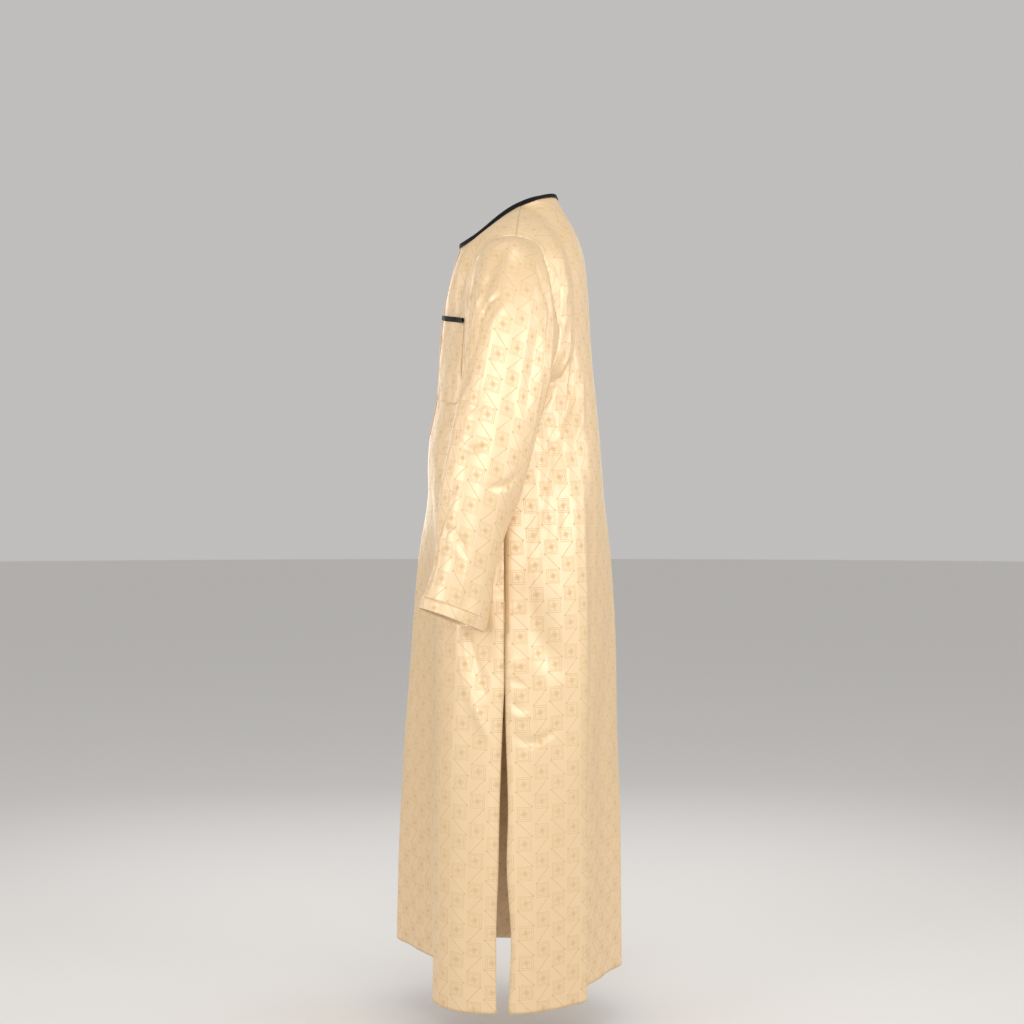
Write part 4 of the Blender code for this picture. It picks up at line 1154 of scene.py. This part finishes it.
def cloth_mesh(name, points, cloth, wrap=False, flip=False):
    """A mesh through a grid of points, with its cloth measures as a UV map."""
    rows, cols = points.shape[:2]
    width = cols - 1 if wrap else cols
    i, j = np.meshgrid(np.arange(rows - 1), np.arange(cols - 1), indexing="ij")
    corners = [(i, j), (i, j + 1), (i + 1, j + 1), (i + 1, j)]
    if flip:
        corners = corners[::-1]
    faces = np.stack([r * width + c % width for r, c in corners], -1).reshape(-1, 4)
    uv = np.stack([cloth[r, c] for r, c in corners], -2).reshape(-1, 2)
    mesh = bpy.data.meshes.new(name)
    mesh.from_pydata(points[:, :width].reshape(-1, 3).tolist(), [], faces.tolist())
    layer = mesh.uv_layers.new(name="cloth")
    layer.data.foreach_set("uv", uv.astype(np.float32).ravel())
    mesh.shade_smooth()
    return add_object(name, mesh)


def add_wall(piece, wall, turned=None, turned_wall=None):
    """Gives a face its wall, on the inner side; a turning is thicker."""
    solidify = piece.modifiers.new("wall", "SOLIDIFY")
    solidify.thickness = wall if turned is None else turned_wall
    solidify.offset = -1.0
    solidify.use_even_offset = False
    solidify.material_offset = 1
    solidify.material_offset_rim = 0
    if turned is not None:
        group = piece.vertex_groups.new(name="turned")
        for index, share in enumerate(turned.ravel()):
            group.add([index], float(share), "REPLACE")
        solidify.vertex_group = "turned"
        solidify.thickness_vertex_group = wall / turned_wall


def make_panel(face, node, name, flip):
    """The front or the back, with its turned slits and hem."""
    piece = cloth_mesh(name, face.grid, face.cloth, flip=flip)
    add_wall(piece, SATIN_WALL, face.turned, TURNED_WALL)
    finished(piece, node, [SATIN, SATIN_REVERSE])
    return piece


def column_at_gap(face, index, gap, side, reach=EDGE_REACH):
    """The column of a panel's row that keeps a gap from its left (1) or right (-1) edge."""
    order = np.arange(len(face.column_at))[::1 if side > 0 else -1][:reach]
    return np.interp(gap, face.edge_gap[index, order], face.column_at[order])


def head_allowance(sleeve, side, panels):
    """Rows of the sleeve's seam allowance, tucked under the edge of the armhole."""
    way = 1 if side == "left" else -1
    column = 0 if way > 0 else -1
    places = []
    for panel in panels:
        length = panel.cloth[:, column, 1]
        for index, place in enumerate(panel.grid[:ARMHOLE_STEPS + 1, column]):
            tuck = TUCK * ease((length[ARMHOLE_STEPS] - length[index]) / 0.03)
            spots = [column_at_gap(panel, index, share * tuck, way, 40) for share in TUCK_SHARES]
            places.append((place, panel, panel.row_at[index], spots))
    tree = search_tree([entry[0] for entry in places])
    rows = []
    for k in range(len(TUCK_SHARES)):
        row = []
        for point in sleeve.grid[0, :-1]:
            _, panel, value, spots = places[tree.find(point)[1]]
            row.append(panel.at(np.array([value]), np.array([spots[k]]), -TUCK_DEPTH)[0])
        row = smoothed_ring(np.array(row), 2)
        rows.append(np.concatenate([row, row[:1]]))
    return np.array(rows)


def make_sleeve(face, side, panels):
    """A sleeve, set in at the armhole with its seam allowance under the panels."""
    tucked = head_allowance(face, side, panels)
    points = np.concatenate([tucked, face.grid])
    above = [face.cloth[:1] - np.array([0.0, share * TUCK]) for share in TUCK_SHARES]
    cloth = np.concatenate([*above, face.cloth])
    piece = cloth_mesh(f"{side}_sleeve_cloth", points, cloth, wrap=True, flip=True)
    add_wall(piece, SATIN_WALL)
    finished(piece, f"{side}_sleeve", [SATIN, SATIN_REVERSE])
    return piece


def make_cuff_hem(face, side):
    """The end of a sleeve, turned up inside: an outer leg, a rounded fold and an inner leg."""
    end = face.grid[-1]
    fall = np.array([0.0, -math.sin(CUFF_LEAN), -math.cos(CUFF_LEAN)])
    out = unit(square_to(face.out[-1], fall))
    half = CUFF_THICKNESS / 2
    bend = np.radians(np.linspace(0, 180, 9))
    profile = [(CUFF_PROUD * ease(t * 6), CUFF_DEPTH * t - 0.0006) for t in np.linspace(0, 1, 9) * 0.94]
    low = profile[-1][1]
    profile += [(CUFF_PROUD - half + half * math.cos(b), low + half * math.sin(b)) for b in bend[1:]]
    profile += [(CUFF_PROUD - CUFF_THICKNESS, low * t) for t in np.linspace(0.9, 0.1, 6)]
    profile = np.array(profile)
    ripple = 0.0004 * seam_puckers(face.cloth[-1, :, 0], 0 * end[:, 0], 17)
    points = end[None] + out[None] * (profile[:, :1, None] + ripple[None, :, None])
    points = points + fall * profile[:, 1:, None]
    points[:, -1] = points[:, 0]
    run = running_length(profile)
    cloth = np.stack(np.broadcast_arrays(face.cloth[-1:, :, 0], SLEEVE_LENGTH + run[:, None]), -1)
    piece = cloth_mesh(f"{side}_cuff_turning", points, cloth, wrap=True, flip=True)
    add_wall(piece, CUFF_WALL)
    finished(piece, f"{side}_cuff_hem", [SATIN, SATIN_REVERSE])
    return piece


def folded_strip(name, edge, way, out, width, overlap, wrap):
    """A binding folded over an edge: an outer leg, a rounded top and an inner leg.

    way points into the cloth from its edge, and out points out of the cloth.
    """
    bend = np.radians(np.linspace(0, 180, 11))
    legs = np.linspace(1, 0, 7)[:-1]
    half = BINDING_HALF
    wide = half * 1.15
    tall = width - half
    profile = [(wide, overlap - (overlap + width - half) * (1 - t)) for t in legs]
    profile += [(wide * math.cos(b), -tall - half * math.sin(b)) for b in bend]
    profile += [(-wide, -tall + (tall + overlap) * (1 - t)) for t in legs[1:] - legs[1]]
    profile = np.array(profile)
    points = edge[None] + out[None] * profile[:, :1, None] + way[None] * profile[:, 1:, None]
    run = running_length(profile)
    length = running_length(edge)
    cloth = np.stack(np.broadcast_arrays(length[None, :], run[:, None]), -1)
    return cloth_mesh(name, points, cloth, wrap=wrap, flip=True)


def neck_line(front, back, steps):
    """The neckline all round: its points, the way down the cloth and the way out of it."""
    points, ways, outs = [], [], []
    for face, high in ((front, SHARE_OF_NECK), (back, -SHARE_OF_NECK)):
        column = np.linspace(-high, high, steps + 1)[:-1]
        here = face.at(0 * column, -column)
        points.append(here)
        ways.append(face.at(0 * column + 0.03, -column) - here)
        outs.append(face.read(face.out, 0 * column, -column))
    points, ways, outs = (np.concatenate(part) for part in (points, ways, outs))
    ways = unit(ways)
    lift = BINDING_LIFT * (1 - ease((points[:, 1:2] - 0.02) / 0.05))
    ways = ways * (1 - lift) + np.array([0.0, 0.0, -1.0]) * lift
    for _ in range(6):
        ways = smoothed_ring(ways, 2)
        outs = smoothed_ring(outs, 2)
        points = smoothed_ring(points, 6)
    run = unit(np.roll(points, -1, 0) - np.roll(points, 1, 0))
    ways = unit(square_to(ways, run))
    outs = unit(square_to(square_to(outs, run), ways))
    return [np.concatenate([part, part[:1]]) for part in (points, ways, outs)]


def make_neck_binding(front, back):
    """The black binding that is folded over the raw edge of the neck."""
    edge, way, out = neck_line(front, back, 96)
    strip = folded_strip("neck_binding_strip", edge, way, out, BINDING_WIDTH, NECK_OVERLAP, True)
    add_wall(strip, BINDING_WALL)
    finished(strip, "neck_binding", [BINDING, BINDING])


def front_places(x, z):
    """Rows and columns of the front's face at places given by x and z."""
    across, down = on_front(np.asarray(x, float), np.asarray(z, float))
    return down, -across


def pocket_line(x, drop):
    """x and z on the chest at an x across the pocket and a drop below its top edge."""
    return x, POCKET_TOP_Z - POCKET_TILT * (x - POCKET_INNER_X) - drop


def make_chest_pocket(front):
    """The patch pocket: rounded lower corners, a little fullness, and a shallow dip along its stitching.
    """
    x_share = np.linspace(0, 1, 45)
    straight = np.linspace(POCKET_BAR - 0.001, POCKET_HEIGHT - POCKET_CORNER, 38)
    corner = POCKET_HEIGHT - POCKET_CORNER * (1 - np.sin(np.radians(np.linspace(8, 86, 14))))
    drops = np.concatenate([straight, corner])
    into = np.clip(drops - POCKET_HEIGHT + POCKET_CORNER, 0, POCKET_CORNER)
    inset = POCKET_CORNER - np.sqrt(np.maximum(POCKET_CORNER ** 2 - into ** 2, 0))
    width = POCKET_WIDTH + POCKET_FLARE * drops / POCKET_HEIGHT - 2 * inset
    x = POCKET_INNER_X + inset[:, None] + width[:, None] * x_share
    x, z = pocket_line(x, drops[:, None])
    down, column = front_places(x, z)
    from_side = np.minimum(x - x[:, :1], x[:, -1:] - x)
    from_end = POCKET_HEIGHT - drops[:, None] + 0 * x
    rim = np.minimum(from_side, from_end)
    fullness = 0.0014 * ease(rim / 0.030) - 0.0005 * np.exp(-((rim - 0.0022) / 0.0010) ** 2)
    sag = 0.0010 * np.exp(-(drops[:, None] / 0.02) ** 2) * np.sin(math.pi * x_share) ** 2
    ripple = PUCKER * seam_puckers(x + z, rim, 23)
    points = front.at(down, column, POCKET_LIFT + fullness + sag + ripple)
    cloth = front.read(front.cloth, down, column) + np.array(POCKET_GRAIN)
    piece = cloth_mesh("chest_pocket_cloth", points, cloth, flip=True)
    add_wall(piece, PATCH_WALL)
    finished(piece, "chest_pocket", [SATIN, SATIN_REVERSE])
    return x, z, drops


def make_pocket_binding(front):
    """The black strip folded over the pocket's top edge."""
    x = np.linspace(POCKET_INNER_X - 0.0004, POCKET_INNER_X + POCKET_WIDTH + 0.0004, 60)
    sag = 0.0010 * np.sin(math.pi * np.linspace(0, 1, 60)) ** 2
    x, z = pocket_line(x, POCKET_BAR)
    down, column = front_places(x, z)
    above_down, above_column = front_places(x, z + 0.002)
    lift = POCKET_LIFT + 0.0012
    edge = front.at(down, column, lift)
    way = unit(edge - front.at(above_down, above_column, lift))
    out = unit(square_to(front.read(front.out, down, column), way))
    edge = edge + out * sag[:, None]
    strip = folded_strip("pocket_binding_strip", edge, way, out, POCKET_BAR, POCKET_OVERLAP, False)
    add_wall(strip, BINDING_WALL)
    finished(strip, "pocket_binding", [BINDING, BINDING])


def make_placket(front):
    """The plain strip over the front opening."""
    top = panel_point(np.array(0.0), np.array(0.0), False)[2] - 0.0010
    z = np.linspace(top, PLACKET_END_Z, 110)
    x = np.linspace(PLACKET_WIDTH / 2, -PLACKET_WIDTH / 2, 15)
    x, z = np.meshgrid(x, z)
    down, column = front_places(x, z)
    rim = np.minimum(PLACKET_WIDTH / 2 - np.abs(x), z - PLACKET_END_Z)
    sewn = 0.0005 * np.exp(-((rim - 0.0025) / 0.0012) ** 2)
    lift = PLACKET_LIFT - sewn + 0.7 * PUCKER * seam_puckers(z, rim, 29)
    points = front.at(down, column, lift)
    cloth = front.read(front.cloth, down, column) + np.array(PLACKET_GRAIN)
    piece = cloth_mesh("front_placket_cloth", points, cloth)
    add_wall(piece, PATCH_WALL)
    finished(piece, "front_placket", [SATIN, SATIN_REVERSE])


def add_input(tree, name, kind, value):
    """A named input of a Geometry Nodes tree."""
    socket = tree.interface.new_socket(name, in_out="INPUT", socket_type=kind)
    if value is not None:
        socket.default_value = value
    return socket


def stitch_tree():
    """Geometry Nodes: a row of stitches along every edge line of a mesh."""
    tree = bpy.data.node_groups.new("stitch_row", "GeometryNodeTree")
    add_input(tree, "Geometry", "NodeSocketGeometry", None)
    add_input(tree, "Stitch Length", "NodeSocketFloat", 0.0028)
    add_input(tree, "Pitch", "NodeSocketFloat", 0.0036)
    add_input(tree, "Thread Radius", "NodeSocketFloat", 0.00026)
    add_input(tree, "Thread", "NodeSocketMaterial", None)
    tree.interface.new_socket("Geometry", in_out="OUTPUT", socket_type="NodeSocketGeometry")
    nodes, links = tree.nodes, tree.links
    start = nodes.new("NodeGroupInput")
    end = nodes.new("NodeGroupOutput")
    lines = nodes.new("GeometryNodeMeshToCurve")
    points = nodes.new("GeometryNodeCurveToPoints")
    points.mode = "LENGTH"
    bead = nodes.new("GeometryNodeMeshUVSphere")
    bead.inputs["Segments"].default_value = 6
    bead.inputs["Rings"].default_value = 5
    bead.inputs["Radius"].default_value = 1.0
    size = nodes.new("ShaderNodeCombineXYZ")
    half = nodes.new("ShaderNodeMath")
    half.operation = "MULTIPLY"
    half.inputs[1].default_value = 0.5
    shaped = nodes.new("GeometryNodeTransform")
    turned = nodes.new("FunctionNodeAlignRotationToVector")
    turned.axis = "Z"
    placed = nodes.new("GeometryNodeInstanceOnPoints")
    real = nodes.new("GeometryNodeRealizeInstances")
    dyed = nodes.new("GeometryNodeSetMaterial")
    links.new(start.outputs["Geometry"], lines.inputs[0])
    links.new(lines.outputs[0], points.inputs["Curve"])
    links.new(start.outputs["Pitch"], points.inputs["Length"])
    links.new(start.outputs["Stitch Length"], half.inputs[0])
    links.new(start.outputs["Thread Radius"], size.inputs["X"])
    links.new(start.outputs["Thread Radius"], size.inputs["Y"])
    links.new(half.outputs[0], size.inputs["Z"])
    links.new(bead.outputs["Mesh"], shaped.inputs["Geometry"])
    links.new(size.outputs[0], shaped.inputs["Scale"])
    links.new(points.outputs["Tangent"], turned.inputs["Vector"])
    links.new(points.outputs["Points"], placed.inputs["Points"])
    links.new(shaped.outputs[0], placed.inputs["Instance"])
    links.new(turned.outputs[0], placed.inputs["Rotation"])
    links.new(placed.outputs[0], real.inputs[0])
    links.new(real.outputs[0], dyed.inputs["Geometry"])
    links.new(start.outputs["Thread"], dyed.inputs["Material"])
    links.new(dyed.outputs[0], end.inputs[0])
    return tree


def make_stitches(name, lines, material, pitch=0.0036, length=0.0027, radius=0.00026):
    """Rows of stitches along lines of points."""
    points, edges = [], []
    for line in lines:
        first = len(points)
        points += [tuple(point) for point in line]
        edges += [(k, k + 1) for k in range(first, len(points) - 1)]
    mesh = bpy.data.meshes.new(f"{name}_lines")
    mesh.from_pydata(points, edges, [])
    guide = add_object(f"{name}_lines", mesh)
    modifier = guide.modifiers.new("stitches", "NODES")
    modifier.node_group = STITCH_ROW
    values = {"Stitch Length": length, "Pitch": pitch, "Thread Radius": radius, "Thread": material}
    for item in STITCH_ROW.interface.items_tree:
        if item.item_type == "SOCKET" and item.in_out == "INPUT" and item.name in values:
            modifier[item.identifier] = values[item.name]
    graph = bpy.context.evaluated_depsgraph_get()
    plain = bpy.data.meshes.new_from_object(guide.evaluated_get(graph))
    bpy.data.objects.remove(guide, do_unlink=True)
    plain.name = name
    plain.shade_smooth()
    piece = add_object(name, plain)
    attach(piece, "root")
    return piece


def panel_edge_line(face, gap, side, low_z, high_z, lift):
    """A line on a panel that keeps a gap from its side edge, between two heights."""
    column = 0 if side > 0 else -1
    rows = (face.grid[:, column, 2] < high_z) & (face.grid[:, column, 2] > low_z)
    places = [column_at_gap(face, index, gap, side) for index in np.flatnonzero(rows)]
    return face.at(face.row_at[rows], np.array(places), lift)


def hem_line(face, gap, lift):
    """A line on a panel that keeps a gap from its hem."""
    upwards = face.row_at[::-1]
    rows = [np.interp(gap, hem, upwards) for hem in face.hem_gap[::-1].T]
    return face.at(np.array(rows), face.column_at, lift)


def bartack(face, side, z, length, lift):
    """A short dense row of stitches across a seam's end, as lines one stitch long."""
    lines = []
    column = 0 if side > 0 else -1
    row = np.interp(-z, -face.grid[ARMHOLE_STEPS:, column, 2], face.row_at[ARMHOLE_STEPS:])
    ends = np.array([row - 0.0012, row + 0.0012])
    for gap in np.arange(0.0008, length, 0.0007):
        place = column_at_gap(face, np.searchsorted(face.row_at, row), gap, side)
        lines.append(face.at(ends, np.array([place, place]), lift))
    return lines


def make_all_stitches(front, back, sleeves, pocket):
    """Every row of sewing that shows."""
    lift = STITCH_LIFT
    slits = [
        panel_edge_line(face, 0.0075, side, HEM_Z + 0.03, SLIT_TOP_Z + 0.012, lift)
        for face in (front, back)
        for side in (1, -1)
    ]
    make_stitches("slit_stitches", slits, THREAD)
    hems = [hem_line(face, HEM_TURNING - 0.002, lift) for face in (front, back)]
    make_stitches("hem_stitches", hems, THREAD)
    openings = [
        panel_edge_line(front, 0.0065, side, SEAM_POCKET_END_Z, SEAM_POCKET_TOP_Z, lift)
        for side in (1, -1)
    ]
    make_stitches("seam_pocket_stitches", openings, THREAD)
    tacks = []
    for side in (1, -1):
        for z in (SEAM_POCKET_TOP_Z, SEAM_POCKET_END_Z, SLIT_TOP_Z + 0.006):
            for face in (front, back):
                tacks += bartack(face, side, z, 0.0075 if face is front else 0.0045, lift)
    make_stitches("bartacks", tacks, THREAD, pitch=0.004, length=0.0034, radius=0.00034)
    cuffs = [
        face.at(np.full_like(face.column_at, 1.0), face.column_at, 0.0011) + CUFF_STITCH_DROP
        for face in sleeves
    ]
    make_stitches("cuff_stitches", cuffs, THREAD, pitch=0.0032)
    make_pocket_stitches(front, pocket)
    make_placket_stitches(front)


def make_pocket_stitches(front, pocket):
    """Edge stitching round the pocket, about 2 mm inside its edge."""
    x, z, drops = pocket
    margin = 0.0022
    left_x = x[:, 0] + margin
    right_x = x[:, -1] - margin
    low = POCKET_HEIGHT - margin
    keep = drops < low
    left = np.stack([left_x, z[:, 0]], -1)[keep]
    right = np.stack([right_x, z[:, -1]], -1)[keep]
    run = np.linspace(left[-1, 0], right[-1, 0], 30)[1:-1]
    bottom = np.stack(pocket_line(run, low + 0 * run), -1)
    line = np.concatenate([left, bottom, right[::-1]])
    down, column = front_places(line[:, 0], line[:, 1])
    stitched = front.at(down, column, POCKET_LIFT + 0.0001)
    bar_x = np.linspace(POCKET_INNER_X + 0.001, POCKET_INNER_X + POCKET_WIDTH - 0.001, 50)
    bar_x, bar_z = pocket_line(bar_x, POCKET_BAR - 0.0012 + 0 * bar_x)
    down, column = front_places(bar_x, bar_z)
    bar = front.at(down, column, POCKET_LIFT + 0.0027)
    make_stitches("pocket_stitches", [stitched], THREAD, pitch=0.0031, length=0.0024)
    name = "pocket_binding_stitches"
    make_stitches(name, [bar], BLACK_THREAD, pitch=0.0031, length=0.0024)


def make_placket_stitches(front):
    """Edge stitching on both sides of the placket, with a crossed box at its foot."""
    margin = 0.0025
    half = PLACKET_WIDTH / 2 - margin
    top = front.grid[0, PANEL_STEPS // 2, 2] - 0.004
    foot = PLACKET_END_Z + margin
    z = np.linspace(top, foot, 110)
    box_top = foot + 2 * half
    lines = []
    for x0, z0, x1, z1 in (
        (half, top, half, foot), (-half, top, -half, foot), (-half, foot, half, foot),
        (-half, box_top, half, box_top), (-half, box_top, half, foot), (half, box_top, -half, foot),
    ):
        steps = max(8, int(math.hypot(x1 - x0, z1 - z0) / 0.004))
        x, z = np.linspace(x0, x1, steps), np.linspace(z0, z1, steps)
        down, column = front_places(x, z)
        lines.append(front.at(down, column, PLACKET_LIFT + 0.0001))
    make_stitches("placket_stitches", lines, THREAD, pitch=0.0032, length=0.0025)


def make_floor():
    """A plain pale floor."""
    place = (0, 0, FLOOR_Z)
    bpy.ops.mesh.primitive_circle_add(
        vertices=96, radius=FLOOR_RADIUS, fill_type="NGON", location=place
    )
    floor = bpy.context.object
    floor.name = "studio_floor"
    material, _, shader = new_material("pale_floor")
    shader.inputs["Base Color"].default_value = (*FLOOR_COLOUR, 1)
    shader.inputs["Roughness"].default_value = 0.85
    floor.data.materials.append(material)


def add_light(name, place, aim, width, height, spread, watts):
    """A soft box that faces a point."""
    light = bpy.data.lights.new(name, "AREA")
    light.shape = "RECTANGLE"
    light.size = width
    light.size_y = height
    light.spread = math.radians(spread)
    light.energy = watts
    lamp = add_object(name, light)
    towards = np.array(aim) - np.array(place)
    heading = math.atan2(towards[1], towards[0])
    pitch = math.atan2(math.hypot(towards[0], towards[1]), -towards[2])
    lamp.location = place
    lamp.rotation_euler = (pitch, 0, heading - math.pi / 2)
    lamp.visible_camera = False


def make_studio():
    """Soft boxes, a pale room and the camera."""
    for light in LIGHTS:
        add_light(*light)
    bpy.context.scene.view_settings.view_transform = "Standard"
    world = bpy.data.worlds.new("pale_room")
    world.use_nodes = True
    backdrop = world.node_tree.nodes["Background"]
    backdrop.inputs["Color"].default_value = (*ROOM_COLOUR, 1)
    backdrop.inputs["Strength"].default_value = ROOM_STRENGTH
    bpy.context.scene.world = world
    lens = bpy.data.cameras.new("camera")
    lens.sensor_width = 36.0
    lens.lens = CAMERA_LENS
    camera = add_object("camera", lens)
    camera.location = CAMERA_PLACE
    camera.rotation_euler = (math.radians(90), 0, math.radians(90))
    bpy.context.scene.camera = camera


make_studio()
make_floor()
figure_group()
SATIN = satin_jacquard("satin_jacquard")
SATIN_REVERSE = satin_jacquard("satin_jacquard_reverse", right_side=False)
BINDING = black_binding()
THREAD = thread("champagne_thread", THREAD_COLOUR)
BLACK_THREAD = thread("black_thread", BLACK_WORN)
STITCH_ROW = stitch_tree()

FRONT = panel_face(False)
BACK = panel_face(True)
close_shoulders(FRONT, BACK)
LEFT_SLEEVE = sleeve_face()
RIGHT_SLEEVE = mirrored_face(LEFT_SLEEVE)
make_panel(FRONT, "front_panel", "front_cloth", False)
make_panel(BACK, "back_panel", "back_cloth", True)
for sleeve_side, sleeve in (("left", LEFT_SLEEVE), ("right", RIGHT_SLEEVE)):
    make_sleeve(sleeve, sleeve_side, (FRONT, BACK))
    make_cuff_hem(sleeve, sleeve_side)
make_neck_binding(FRONT, BACK)
POCKET = make_chest_pocket(FRONT)
make_pocket_binding(FRONT)
make_placket(FRONT)
make_all_stitches(FRONT, BACK, (LEFT_SLEEVE, RIGHT_SLEEVE), POCKET)
